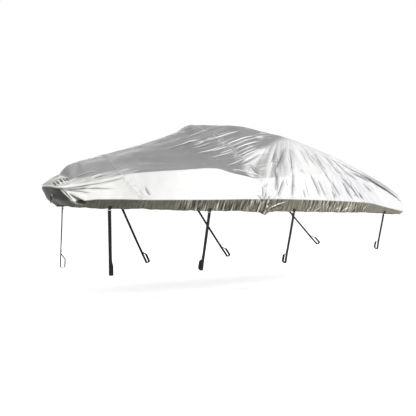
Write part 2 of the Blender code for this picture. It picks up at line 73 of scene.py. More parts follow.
class Signal:
    """One output socket of a node tree, with the arithmetic that adds Math nodes to it."""

    def __init__(self, shader: Shader, socket: bpy.types.NodeSocket) -> None:
        """Wraps a socket of a shader."""
        self.shader = shader
        self.socket = socket

    __add__ = __radd__ = operator("ADD")
    __mul__ = __rmul__ = operator("MULTIPLY")
    __sub__, __rsub__ = operator("SUBTRACT"), operator("SUBTRACT", swapped=True)
    __truediv__, __pow__ = operator("DIVIDE"), operator("POWER")

    def largest(self, other: Operand) -> Signal:
        """Returns the larger of two."""
        return operator("MAXIMUM")(self, other)

    def size(self) -> Signal:
        """Returns the signal without its sign."""
        return operator("ABSOLUTE")(self, 0.0)

    def clamped(self) -> Signal:
        """Returns the signal held between 0 and 1."""
        return self.shader.node("ShaderNodeClamp", {}, {0: self})

    def step(self, start: float, stop: float) -> Signal:
        """Returns a smooth rise from 0 at start to 1 at stop."""
        settings = {"interpolation_type": "SMOOTHSTEP"}
        return self.shader.node("ShaderNodeMapRange", settings, {0: self, 1: start, 2: stop})

    def ridge(self, middle: float, width: Operand) -> Signal:
        """Returns thin lines, 1 where the signal passes the middle and 0 well away from it."""
        away = (self - middle) / width
        return operator("EXPONENT")(away * away * -1.0, 0.0)


class Shader:
    """Builds the node tree of one material."""

    def __init__(self, name: str) -> None:
        """Starts a material with a Principled shader."""
        self.material = bpy.data.materials.new(name)
        self.material.use_nodes = True
        self.tree = self.material.node_tree
        self.surface = self.tree.nodes["Principled BSDF"]

    def node(
        self,
        kind: str,
        settings: dict[str, object],
        inputs: dict[Union[int, str], object],
        output: Union[int, str] = 0,
    ) -> Signal:
        """Adds any node.

        Args:
            kind: The node's type.
            settings: Its properties; "stops" holds the (position, colour) pairs of a ramp.
            inputs: Values or signals for its sockets, by name or number.
            output: The output that is returned.

        Returns:
            One output of the node.
        """
        made = self.tree.nodes.new(kind)
        for key, value in settings.items():
            if key == "stops":
                self._set_stops(made.color_ramp, value)
            else:
                setattr(made, key, value)
        for key, value in inputs.items():
            self.feed(made.inputs[key], value)
        return Signal(self, made.outputs[output])

    def feed(self, socket: bpy.types.NodeSocket, value: object) -> None:
        """Links a signal to a socket, or sets the socket's own value."""
        if isinstance(value, Signal):
            self.tree.links.new(value.socket, socket)
        elif isinstance(value, tuple) and len(value) == 3 and socket.type == "RGBA":
            socket.default_value = (*value, 1.0)
        else:
            socket.default_value = value

    @staticmethod
    def _set_stops(ramp: bpy.types.ColorRamp, stops: Sequence[tuple[float, Colour]]) -> None:
        """Replaces the stops of a colour ramp."""
        while len(ramp.elements) < len(stops):
            ramp.elements.new(0.5)
        for element, (position, colour) in zip(ramp.elements, stops):
            element.position = position
            element.color = (*colour, 1.0)

    def attribute(self, name: str) -> Signal:
        """Returns a number that the mesh stores at each point."""
        return self.node("ShaderNodeAttribute", {"attribute_name": name}, {}, "Fac")

    def place(self) -> Signal:
        """Returns the piece's own coordinates in metres."""
        return self.node("ShaderNodeTexCoord", {}, {}, "Object")

    def flat(self) -> Signal:
        """Returns the place on the flat cut cloth in metres."""
        return self.node("ShaderNodeUVMap", {"uv_map": "cut"}, {}, "UV")

    def noise(self, where: Signal, scale: float, detail: float, roughness: float = 0.5) -> Signal:
        """Returns cloudy noise from 0 to 1; scale is in cells to the metre."""
        inputs = {"Vector": where, "Scale": scale, "Detail": detail, "Roughness": roughness}
        return self.node("ShaderNodeTexNoise", {}, inputs, 0)

    def part(self, where: Signal, axis: int) -> Signal:
        """Returns one coordinate; 0, 1 and 2 are x, y and z."""
        return self.node("ShaderNodeSeparateXYZ", {}, {0: where}, axis)

    def joined(self, *values: Operand) -> Signal:
        """Returns coordinates made of two or three numbers."""
        return self.node("ShaderNodeCombineXYZ", {}, dict(enumerate(values)))

    def scaled(self, where: Signal, scale: tuple[float, float, float]) -> Signal:
        """Returns coordinates multiplied by a scale along each axis."""
        return self.node("ShaderNodeVectorMath", {"operation": "MULTIPLY"}, {0: where, 1: scale})

    def mix(self, share: Operand, first: object, second: object) -> Signal:
        """Returns the colour between two colours; share 0 is the first."""
        settings = {"data_type": "RGBA"}
        return self.node("ShaderNodeMix", settings, {0: share, 6: first, 7: second}, 2)

    def coated(self, under: object, coats: Sequence[tuple[Operand, object]]) -> Signal:
        """Returns a colour with others laid over it in turn, each by its share."""
        for share, colour in coats:
            under = self.mix(share, under, colour)
        return under

    def bands(
        self, where: Signal, scale: float, axis: str, profile: str = "SIN", **inputs: float
    ) -> Signal:
        """Returns waves from 0 to 1 across one axis, with the Wave Texture's own scale."""
        settings = {"wave_type": "BANDS", "bands_direction": axis, "wave_profile": profile}
        values = {"Vector": where, "Scale": scale, "Distortion": 0.0, **inputs}
        return self.node("ShaderNodeTexWave", settings, values, 1)

    def bump(self, height: Signal, distance: float, before: Optional[Signal] = None) -> Signal:
        """Returns the normal of a surface raised by height times distance."""
        inputs: dict[Union[int, str], object] = {"Height": height, "Distance": distance}
        if before is not None:
            inputs["Normal"] = before
        return self.node("ShaderNodeBump", {}, inputs)

    def finish(self, **sockets: object) -> bpy.types.Material:
        """Feeds the Principled shader; a name's underscores stand for spaces."""
        for key, value in sockets.items():
            self.feed(self.surface.inputs[key.replace("_", " ")], value)
        return self.material


# ---- finishes
class Rise(NamedTuple):
    """A smooth rise from 0 at its start to 1 at its stop, which may be the lower of the two."""

    start: float
    stop: float

    def share(self, values: np.ndarray) -> np.ndarray:
        """Returns how far along the rise each value is."""
        return level((values - self.start) / (self.stop - self.start))


class ClothReads:
    """What the coated cloth's colours are worked out from: places, folds and cloudy noises."""

    def __init__(self, shader: Shader, finish: CoatedCloth) -> None:
        """Reads each of them once."""
        self.shader, self.finish = shader, finish
        self.flat, self.place = shader.flat(), shader.place()
        self.x, self.z = shader.part(self.place, 0), shader.part(self.place, 2)
        self.relief, self.gather = shader.attribute("relief"), shader.attribute("gather")
        self.drag, self.fan = shader.attribute("drag"), shader.attribute("fan")
        self.broad = shader.noise(self.place, 2.3, 3.0)
        self.crumple = shader.noise(self.place, 16.0, 4.0, 0.6)
        self.patches = shader.noise(self.place, 4.5, 1.0).step(0.40, 0.62)
        self.drawn = shader.noise(self._drag_place(), 1.0, 1.0, 0.5)
        self.fanned = shader.noise(self._fan_place(), 1.0, 2.0, 0.55)
        wrinkles = self.stretched((30.0, 13.0, 1.0), 2.0, 0.6)
        self.pucker = shader.attribute("pucker") * wrinkles.ridge(0.52, 0.05)
        self.line = self.lines(0.0)

    def stretched(self, cells: tuple[float, float, float], detail: float, roughness: float) -> Signal:
        """Returns noise on the flat cloth, with so many cells to the metre along and down it."""
        return self.shader.noise(self.shader.scaled(self.flat, cells), 1.0, detail, roughness)

    def lines(self, aside: float) -> Signal:
        """Returns the sharp lines of the creases, -1 in a trough and 1 on a ridge.

        Args:
            aside: How far to one side of each crease the lines are read, in metres.

        Returns:
            The sum of the lines of every layer of creases.
        """
        total: Operand = 0.0
        aft = self.x.step(*self.finish.wide_line_x)
        wider = self.drag * 0.55 + aft * 0.9 + 1.0
        for layer in range(CREASE_LAYERS):
            depth = self.shader.attribute(f"depth{layer}")
            width = (depth.size() * 0.75 + 0.25) * wider * self.finish.line_width
            away = self.shader.attribute(f"crease{layer}") + aside
            total = away.ridge(0.0, width) * depth + total
        return total

    def _drag_place(self) -> Signal:
        """Returns coordinates that run along and across the drag lines over the top."""
        shader = self.shader
        half = shader.node("ShaderNodeVectorMath", {"operation": "ABSOLUTE"}, {0: self.place})
        here = shader.joined(self.x, shader.part(half, 1), self.z)
        dot = {"operation": "DOT_PRODUCT"}
        along, across = (shader.node("ShaderNodeVectorMath", dot, {0: here, 1: way}, 1)
                         for way in (self.finish.drag_along, self.finish.drag_across))
        return shader.joined(along * 1.1, across * 13.0)

    def _fan_place(self) -> Signal:
        """Returns coordinates that run across and down the folds of the crown's after corner."""
        drop = (self.finish.fan_z - self.z).largest(0.04)
        across = (self.x - self.finish.fan_x) / drop ** 0.6
        y = self.shader.part(self.place, 1)
        return self.shader.joined(across * 7.5, drop * 1.7, y * 0.4)


@dataclass(frozen=True)
class CoatedCloth:
    """Silver-coated polyester: grey on top and pale on the sides, partly the cloth's own tone and partly
    painted light and shade of its sheen; the olive hem band and the bow's face are painted shade, and the
    folds carry painted highlights and painted shade.
    """

    name: str = "coated_cloth"
    # The top's grey is partly the cloth's own tone and partly painted shade; the side's pale tone below is
    # partly its own and partly painted light.
    top: Colour = (0.190, 0.190, 0.195)
    top_dark: Colour = (0.130, 0.130, 0.135)
    # painted light: the top is painted paler towards the bow
    top_bow_lit: Colour = (0.275, 0.275, 0.280)
    top_shade: Colour = (0.056, 0.056, 0.064)
    glint: Colour = (0.70, 0.70, 0.71)
    side: Colour = (0.505, 0.505, 0.500)
    # painted light: the side is painted paler towards the bow
    side_bow_lit: Colour = (0.70, 0.70, 0.68)
    # painted shade: the side is painted greyer towards the after end
    side_aft_shade: Colour = (0.455, 0.455, 0.460)
    side_shade: Colour = (0.225, 0.225, 0.260)
    # painted shade: the dark line along the side's creases and fan folds
    side_crease_shade: Colour = (0.085, 0.085, 0.105)
    # painted highlight on the hem's pleats, and painted shade over the whole hem band and under the bow's
    # face below
    hem_highlight: Colour = (0.205, 0.198, 0.145)
    hem_shade: Colour = (0.012, 0.012, 0.009)
    # painted shade: the dark olive of the bow's face
    face: Colour = (0.029, 0.030, 0.023)
    thread: Colour = (0.34, 0.34, 0.345)
    bow_x: Rise = Rise(-1.5, -2.0)  # towards the bow the cloth is painted paler, as painted light
    bow_edge_x: Rise = Rise(-2.10, -2.22)  # and past its kink less so
    aft_x: Rise = Rise(-0.3, 1.2)  # towards the after end the side is painted greyer, as painted shade
    wide_line_x: Rise = Rise(1.3, 1.9)  # and the creases are wider
    pucker_x: Rise = Rise(-1.2, -0.9)  # the foremost seam's puckers don't shine
    low_z: Rise = Rise(-0.30, -0.58)  # down the side the painted shade of the creases is darker
    line_width: float = 0.0058  # half width of the sharp line along a crease
    line_aside: float = 0.0115  # how far beside a bright line its shade lies
    fan_x: float = 0.68  # where the folds of the crown's after corner start
    fan_z: float = -0.115
    drag_along: Direction = (0.96, 0.11, 0.25)
    drag_across: Direction = (0.117, 0.666, -0.737)
    weave: float = 620.0  # threads to the metre
    weave_rise: float = 0.00012
    grain_rise: float = 0.0007
    swell_rise: float = 0.0060
    crumple_rise: float = 0.0016
    line_rise: float = 0.0034
    roughness: float = 0.44
    refraction: float = 1.38

    def build(self) -> bpy.types.Material:
        """Returns the material."""
        shader = Shader(self.name)
        reads = ClothReads(shader, self)
        grey = self._grey(shader, reads)
        base = shader.mix(grey, self._side(shader, reads), self._top(shader, reads))
        base = shader.mix(shader.attribute("hem"), base, self._hem(shader, reads))
        base = shader.mix(shader.attribute("face"), base, self._front(shader, reads))
        base = shader.mix(shader.attribute("seam") * (grey * 0.04 + 0.16), base, self.thread)
        shine = (reads.crumple * 0.16 + self.roughness - 0.08).clamped()
        return shader.finish(Base_Color=base, Roughness=shine, Normal=self._normal(shader, reads),
                             Metallic=0.0, IOR=self.refraction)

    @staticmethod
    def _grey(shader: Shader, reads: ClothReads) -> Signal:
        """Returns the share of grey top, partly painted shade, ragged at its edge and streaked with painted
        shade past the crown's corner.
        """
        grey = shader.attribute("grey")
        ragged = (grey - reads.relief * 0.14 + reads.broad * 0.5 - 0.25).step(0.22, 0.78)
        veil = shader.attribute("veil") * reads.fanned.step(0.22, 0.74) * 0.78
        return (ragged * grey.step(0.0, 0.2)).largest(veil)

    def _top(self, shader: Shader, reads: ClothReads) -> Signal:
        """Returns the colour of the grey top, with the painted highlights and painted shade of its folds,
        drag lines, creases and puckers.
        """
        relief, line, streaks = reads.relief, reads.line, reads.drag * reads.patches
        # painted light on the top towards the bow, less of it past the kink
        bow = reads.x.step(*self.bow_x) * 0.85 - reads.x.step(*self.bow_edge_x) * 0.55
        return shader.coated(self.top_dark, (
            ((reads.broad * 1.4 - 0.2 + reads.crumple * 0.3).clamped(), self.top),
            (bow, self.top_bow_lit),
            (relief.step(0.3, 1.2) * 0.38, self.glint),
            (relief.step(-0.3, -1.2) * 0.40, self.top_shade),
            (streaks * reads.drawn.ridge(0.48, 0.030) * 0.35, self.top_shade),
            (streaks * reads.drawn.ridge(0.54, 0.020) * 0.50, self.glint),
            (reads.lines(self.line_aside).clamped(), self.top_shade),
            ((line * -1.0).clamped() * 0.80, self.top_shade),
            (line.clamped() * 0.95, self.glint),
            (reads.pucker * reads.x.step(*self.pucker_x) * 0.20, self.glint)))

    def _side(self, shader: Shader, reads: ClothReads) -> Signal:
        """Returns the colour of the pale side, with the painted shade of the fan's folds, creases and
        puckers.
        """
        fan = reads.fan
        low = reads.z.step(*self.low_z) * 0.45 + 0.43
        return shader.coated(self.side, (
            (reads.x.step(*self.aft_x), self.side_aft_shade),
            (reads.x.step(*self.bow_x), self.side_bow_lit),
            (fan * reads.fanned.step(0.48, 0.74) * 0.40, self.side_shade),
            (reads.relief.step(-0.10, -1.4) * 0.44, self.side_shade),
            (fan * reads.patches * reads.fanned.ridge(0.50, 0.014) * 0.60, self.side_crease_shade),
            (reads.pucker * 0.40, self.side_shade),
            ((reads.line * -1.0).clamped() * low, self.side_crease_shade)))

    def _hem(self, shader: Shader, reads: ClothReads) -> Signal:
        """Returns the colour of the hem band, painted dark as shade and lighter towards the stern, with
        painted highlights and painted shade streaked down its height where it is gathered.
        """
        pleats = reads.stretched((44.0, 5.0, 1.0), 3.0, 0.62) - 0.5
        gathered = reads.gather * 4.4 + 0.1
        relief = reads.relief + reads.crumple * 1.1
        tone = relief * 0.42 + pleats * gathered + reads.x * 0.060 + 0.11 + reads.line * 0.9
        light = shader.mix((tone - 0.75).clamped(), self.hem_highlight, self.glint)
        return shader.mix(tone.clamped(), self.hem_shade, light)

    def _front(self, shader: Shader, reads: ClothReads) -> Signal:
        """Returns the colour of the bow's face, painted dark as shade, with painted highlights along its
        creases.
        """
        streaks = reads.stretched((26.0, 6.0, 1.0), 3.0, 0.6)
        tone = reads.crumple * 1.2 + streaks * 1.5 + reads.relief * 0.4 - 0.8
        return shader.coated(self.hem_shade, (
            (tone.clamped(), self.face), (reads.line.clamped() * 0.85, self.glint)))

    def _normal(self, shader: Shader, reads: ClothReads) -> Signal:
        """Returns the normal, with the weave, the grain, the drawn cloth and its sharp lines."""
        warp, weft = (shader.bands(reads.flat, self.weave / math.tau, axis) for axis in "XY")
        normal = shader.bump(warp * weft, self.weave_rise)
        normal = shader.bump(shader.noise(reads.place, 38.0, 3.0, 0.55), self.grain_rise, normal)
        drawn = reads.drawn * reads.drag + reads.fanned * reads.fan
        normal = shader.bump(drawn, self.swell_rise, normal)
        normal = shader.bump(reads.crumple, self.crumple_rise, normal)
        return shader.bump(reads.line, self.line_rise, normal)


@dataclass(frozen=True)
class BlackWebbing:
    """Black woven webbing with fine cross ribs."""

    name: str = "black_webbing"
    dark: Colour = (0.006, 0.006, 0.007)
    light: Colour = (0.022, 0.022, 0.024)
    rib: float = 0.0024

    def build(self) -> bpy.types.Material:
        """Returns the material."""
        shader = Shader(self.name)
        flat = shader.flat()
        rib = shader.bands(flat, 1.0 / self.rib, "Y")
        twill = shader.bands(flat, 0.55 / self.rib, "DIAGONAL", "TRI")
        worn = shader.noise(shader.place(), 30.0, 4.0)
        colour = shader.mix((rib * 0.4 + twill * 0.25 + worn * 0.35).clamped(), self.dark, self.light)
        normal = shader.bump(rib * 0.7 + twill * 0.3, 0.0003)
        rough = worn * 0.2 + 0.62
        return shader.finish(Base_Color=colour, Roughness=rough, Normal=normal, Specular_IOR_Level=0.12)


@dataclass(frozen=True)
class PlatedWire:
    """Bright plated steel wire with fine drawing marks."""

    name: str = "plated_wire"
    bright: Colour = (0.66, 0.66, 0.67)
    dull: Colour = (0.42, 0.42, 0.42)

    def build(self) -> bpy.types.Material:
        """Returns the material."""
        shader = Shader(self.name)
        spots = shader.noise(shader.place(), 260.0, 5.0, 0.65)
        colour = shader.mix(spots.step(0.45, 0.75), self.bright, self.dull)
        normal = shader.bump(shader.noise(shader.place(), 900.0, 2.0), 0.00004)
        rough = spots * 0.22 + 0.16
        return shader.finish(Base_Color=colour, Metallic=1.0, Roughness=rough, Normal=normal)


@dataclass(frozen=True)
class MouldedPlastic:
    """Black moulded plastic with a fine spark texture."""

    name: str = "moulded_plastic"
    colour: Colour = (0.012, 0.012, 0.013)
    worn: Colour = (0.045, 0.045, 0.046)

    def build(self) -> bpy.types.Material:
        """Returns the material."""
        shader = Shader(self.name)
        grain = shader.noise(shader.place(), 1400.0, 3.0)
        scuffs = shader.noise(shader.place(), 120.0, 5.0, 0.7)
        colour = shader.mix(scuffs.step(0.6, 0.8), self.colour, self.worn)
        rough = scuffs * 0.2 + 0.35
        return shader.finish(Base_Color=colour, Roughness=rough, Normal=shader.bump(grain, 0.00008))


@dataclass(frozen=True)
class BraidedCord:
    """Black cord with a diagonal braid."""

    name: str = "braided_cord"
    dark: Colour = (0.008, 0.008, 0.008)
    light: Colour = (0.040, 0.040, 0.041)
    strand: float = 0.0022

    def build(self) -> bpy.types.Material:
        """Returns the material."""
        shader = Shader(self.name)
        braid = shader.bands(shader.place(), 0.5 / self.strand, "DIAGONAL", Distortion=0.6, Detail=1.0)
        colour = shader.mix(braid, self.dark, self.light)
        return shader.finish(Base_Color=colour, Roughness=0.7, Normal=shader.bump(braid, 0.0004))


@dataclass(frozen=True)
class StudioPaper:
    """Plain pale paper of the floor."""

    name: str = "studio_paper"
    colour: Colour = (0.98, 0.98, 0.98)
    cloud_colour: Colour = (0.95, 0.95, 0.95)
    white: Colour = (1.0, 1.0, 1.0)
    glow: float = 0.10

    def build(self) -> bpy.types.Material:
        """Returns the material."""
        shader = Shader(self.name)
        cloud = shader.noise(shader.place(), 0.7, 2.0)
        colour = shader.mix(cloud * 0.1, self.colour, self.cloud_colour)
        return shader.finish(
            Base_Color=colour, Roughness=0.95, Emission_Color=self.white, Emission_Strength=self.glow)


# ---- the shape of the cover
class Section(NamedTuple):
    """One section of the port half; x and y are in plan and h is above the hem level."""

    spine_x: float
    spine_h: float
    crest_x: float
    crest_y: float
    crest_h: float
    shoulder_x: float
    shoulder_y: float
    shoulder_h: float
    belt_x: float
    belt_y: float
    belt_h: float
    hem_h: float
    tuck: float


SECTIONS: dict[str, Section] = {
    name: Section(*row)
    for name, row in {
        "bow centre": (-1.98, .558, -2.095, .0, .525, -2.352, .0, .308, -2.29, .0, .16, .1, .1),
        "bow face": (-1.98, .558, -2.068, -.04, .524, -2.35, -.1, .303, -2.275, -.115, .155, .088, .1),
        "bow corner": (-1.98, .558, -2.046, -.07, .52, -2.32, -.185, .29, -2.216, -.21, .14, .074, .088),
        "bow cheek": (-1.97, .56, -2.016, -.11, .509, -2.17, -.24, .3, -2.105, -.335, .138, .064, .07),
        "bow flare": (-1.95, .572, -1.99, -.17, .51, -2.0, -.4, .338, -1.97, -.5, .155, .056, .061),
        "fore start": (-1.8, .61, -1.85, -.2, .55, -1.87, -.53, .377, -1.8, -.66, .156, .052, .058),
        "seam 1": (-1.64, .648, -1.69, -.23, .584, -1.765, -.62, .414, -1.61, -.805, .151, .052, .058),
        "fore slope": (-1.4, .71, -1.43, -.22, .66, -1.45, -.77, .46, -1.38, -.885, .148, .04, .058),
        "fore end": (-1.12, .782, -1.12, -.26, .726, -1.14, -.87, .478, -1.12, -.95, .146, .029, .058),
        "crown foot": (-.78, .884, -.78, -.32, .812, -.76, -.92, .5, -.78, -.995, .144, .019, .058),
        "slack pocket": (-.58, .955, -.6, -.36, .858, -.4, -.94, .425, -.4, -1.02, .146, .011, .058),
        "seam 2": (-.4, 1.036, -.36, -.42, .902, -.085, -.95, .388, -.05, -1.034, .143, -.012, .058),
        "crown corner": (.0, 1.047, .0, -.46, 1.018, .13, -.958, .398, .13, -1.036, .141, -.006, .058),
        "crown side": (.3, 1.005, .36, -.53, .962, .36, -.96, .404, .36, -1.036, .135, -.01, .058),
        "crown end": (.64, .94, .7, -.6, .896, .64, -.962, .415, .64, -1.035, .126, -.018, .058),
        "after slope": (.93, .87, .95, -.69, .805, .97, -.966, .43, .96, -1.031, .112, -.03, .058),
        "after end": (1.26, .765, 1.27, -.785, .685, 1.31, -.97, .36, 1.31, -1.022, .096, -.041, .058),
        "seam 3": (1.6, .665, 1.6, -.845, .545, 1.66, -.965, .275, 1.7, -1.005, .072, -.049, .058),
        "quarter": (1.88, .575, 1.9, -.885, .412, 1.97, -.956, .2, 2.01, -.988, .018, -.064, .058),
        "after quarter": (2.1, .505, 2.18, -.9, .285, 2.25, -.946, .128, 2.28, -.966, -.03, -.08, .058),
        "stern corner": (2.1, .505, 2.39, -.87, .185, 2.455, -.912, .055, 2.47, -.925, -.058, -.098, .058),
        "stern quarter": (2.1, .505, 2.4, -.64, .3, 2.48, -.68, .1, 2.496, -.69, -.044, -.094, .058),
        "stern hollow": (2.1, .505, 2.4, -.33, .415, 2.485, -.345, .15, 2.502, -.35, -.036, -.09, .058),
        "stern centre": (2.1, .505, 2.4, .0, .44, 2.487, .0, .16, 2.504, .0, -.034, -.088, .058),
    }.items()
}


def level(values: np.ndarray) -> np.ndarray:
    """Returns values held between 0 and 1 and eased at both ends."""
    held = np.clip(values, 0.0, 1.0)
    return held * held * (3 - 2 * held)


def unit(vectors: np.ndarray) -> np.ndarray:
    """Returns the vectors at length 1."""
    return vectors / np.maximum(np.linalg.norm(vectors, axis=-1, keepdims=True), 1e-9)


@dataclass
class Curve1D:
    """A curve through given values that never overshoots them."""

    at: np.ndarray
    values: np.ndarray
    slopes: np.ndarray = field(init=False)

    def __post_init__(self) -> None:
        """Works out the slope at each value."""
        step = np.diff(self.at)
        rise = np.diff(self.values) / step
        slopes = np.zeros(len(self.values))
        slopes[0], slopes[-1] = rise[0], rise[-1]
        for i in range(1, len(self.values) - 1):
            if rise[i - 1] * rise[i] > 0:
                near = 2 * step[i] + step[i - 1]
                far = step[i] + 2 * step[i - 1]
                slopes[i] = (near + far) / (near / rise[i - 1] + far / rise[i])
        self.slopes = slopes

    def read(self, where: np.ndarray) -> np.ndarray:
        """Returns the curve's values at several places."""
        i = np.clip(np.searchsorted(self.at, where) - 1, 0, len(self.at) - 2)
        step = self.at[i + 1] - self.at[i]
        t = (where - self.at[i]) / step
        start = (1 + 2 * t) * (1 - t) ** 2 * self.values[i] + t * (1 - t) ** 2 * step * self.slopes[i]
        end = t * t * (3 - 2 * t) * self.values[i + 1] + t * t * (t - 1) * step * self.slopes[i + 1]
        return start + end


class Leg(IntEnum):
    """The stretches of a section, in order from the centre line to the inside of the hem."""

    SPINE = 0  # over the top
    CREST = 1  # round the crest
    SLOPE = 2  # down to the shoulder
    SHOULDER = 3  # round the shoulder
    SIDE = 4  # down to the belt line
    BELT = 5  # round the belt line
    HEM = 6  # down the hem band
    EDGE = 7  # round the hem's rolled edge and up inside


@dataclass
class CoverSurface:
    """The outer face of the port half, read anywhere along its sections and round its girth."""

    crest_round: float = 0.11
    crest_round_centre: float = 0.028
    crest_round_growth: float = 0.30  # from the centre line, with the crest's width
    shoulder_round: float = 0.045
    belt_round: float = 0.018
    longest_round: float = 0.45  # share of a leg that a rounding may take
    pitch: float = 0.0094  # of the mesh
    finer: dict[Leg, float] = field(default_factory=lambda: {Leg.CREST: 1.1, Leg.SHOULDER: 1.3})
    belt_columns: int = 5
    hem_columns: int = 14
    halvings: int = 40  # of a stretch, to find a place along the belt line
    at: np.ndarray = field(init=False)
    curves: dict[str, Curve1D] = field(init=False)
    place: dict[str, float] = field(init=False)

    def __post_init__(self) -> None:
        """Works out where each section stands along the belt line."""
        rows = np.array(list(SECTIONS.values()))
        first = Section._fields.index("belt_x")
        step = np.linalg.norm(np.diff(rows[:, first:first + 2], axis=0), axis=1)
        self.at = np.concatenate([[0.0], np.cumsum(step)])
        self.curves = {name: Curve1D(self.at, rows[:, k]) for k, name in enumerate(Section._fields)}
        self.place = dict(zip(SECTIONS, self.at))

    def corner(self, where: np.ndarray, name: str) -> np.ndarray:
        """Returns the points of one corner of the sections at several places."""
        x = self.curves[f"{name}_x"].read(where)
        y = self.curves[f"{name}_y"].read(where) if name != "spine" else np.zeros_like(where)
        return np.stack([x, y, self.curves[f"{name}_h"].read(where)], axis=-1)

    def hem_edge(self, where: np.ndarray) -> np.ndarray:
        """Returns the points of the hem's lower edge."""
        spine, belt = self.corner(where, "spine"), self.corner(where, "belt")
        inward = spine - belt
        inward[:, 2] = 0.0
        hem = belt + unit(inward) * self.curves["tuck"].read(where)[:, None]
        hem[:, 2] = self.curves["hem_h"].read(where)
        return hem

    def toward(
        self, corner: np.ndarray, neighbour: np.ndarray, reach: Union[float, np.ndarray]
    ) -> np.ndarray:
        """Returns where the rounding of a corner starts, towards its neighbour."""
        way = neighbour - corner
        length = np.linalg.norm(way, axis=-1, keepdims=True)
        return corner + way * np.minimum(reach / np.maximum(length, 1e-6), self.longest_round)

    def at_belt_x(self, x: float) -> float:
        """Returns the distance along the belt line of the side's point with this x."""
        low, high = self.place["bow corner"], self.place["after quarter"]
        for _ in range(self.halvings):
            middle = 0.5 * (low + high)
            if self.curves["belt_x"].read(np.array([middle]))[0] < x:
                low = middle
            else:
                high = middle
        return 0.5 * (low + high)

    def legs(self, where: np.ndarray) -> tuple[np.ndarray, np.ndarray]:
        """Reads whole sections.

        Args:
            where: Distances along the belt line.

        Returns:
            The points, as an array of sections by points by 3, and a number for each column that
            counts the legs passed, such as 2.5 for half way down the slope.
        """
        corners = [self.corner(where, name) for name in ("spine", "crest", "shoulder", "belt")]
        corners.append(self.hem_edge(where))
        columns: list[np.ndarray] = []
        counts: list[float] = []

        def add(leg: Leg, steps: Iterable[float], shape: Callable[[float], np.ndarray]) -> None:
            """Adds the columns of one leg."""
            for t in steps:
                columns.append(shape(t))
                counts.append(leg + t)

        def arc(first: np.ndarray, corner: np.ndarray, last: np.ndarray) -> Callable[[float], np.ndarray]:
            """Returns the rounding of a corner."""
            return lambda t: first * (1 - t) ** 2 + corner * 2 * t * (1 - t) + last * t * t

        def line(first: np.ndarray, last: np.ndarray) -> Callable[[float], np.ndarray]:
            """Returns a straight stretch."""
            return lambda t: first * (1 - t) + last * t

        def over(t: float) -> np.ndarray:
            """Returns the cloth from the centre line, where it lies level, to the crest."""
            rise = t * t * (3 - 2 * t)
            return start + way * rise + flat * t * (1 - t) ** 2 + way * t * t * (t - 1)

        round_crest = self.crest_round_centre - self.crest_round_growth * corners[1][:, 1:2]
        rounds = (np.minimum(round_crest, self.crest_round), self.shoulder_round, self.belt_round)
        start = corners[0]
        for n, reach in enumerate(rounds, 1):
            into = self.toward(corners[n], corners[n - 1], reach)
            out = self.toward(corners[n], corners[n + 1], reach)
            way = into - start
            flat = way * np.array([1.0, 1.0, 0.0])
            turn = Leg(2 * n - 1)
            add(Leg(2 * n - 2), self._steps(way), over if n == 1 else line(start, into))
            around = np.arange(self.belt_columns) / self.belt_columns
            if turn is not Leg.BELT:
                around = self._steps(into - out, self.finer[turn])
            add(turn, around, arc(into, corners[n], out))
            start = out
        add(Leg.HEM, np.linspace(0.0, 1.0, self.hem_columns), line(start, corners[-1]))
        return np.stack(columns, axis=1), np.array(counts)

    def _steps(self, way: np.ndarray, finer: float = 1.0) -> np.ndarray:
        """Returns the steps of a leg, from 0 to just short of 1, at the mesh's pitch."""
        longest = float(np.linalg.norm(way, axis=-1).max())
        count = max(3, int(round(longest * finer / self.pitch)))
        return np.arange(count) / count


# ---- folds
class FoldShape(Enum):
    """How a fold stands across its line."""

    RIDGE = "a round ridge"
    TROUGH = "a round trough"
    ROLL = "a ridge with a trough below it"
    TUCK = "a sharp crease"


class Fold(NamedTuple):
    """One fold of the cloth, from one point to another, in plan x and y and height h."""

    x0: float
    y0: float
    h0: float
    x1: float
    y1: float
    h1: float
    width: float
    height: float
    bow: float = 0.0
    shape: FoldShape = FoldShape.TROUGH

    def ends(self) -> np.ndarray:
        """Returns its two ends, one to a row."""
        return np.array([self[:3], self[3:6]])


RIDGE, TROUGH, ROLL, TUCK = FoldShape
# The tables below have the columns of Fold: two ends, half width, height, bow and shape.

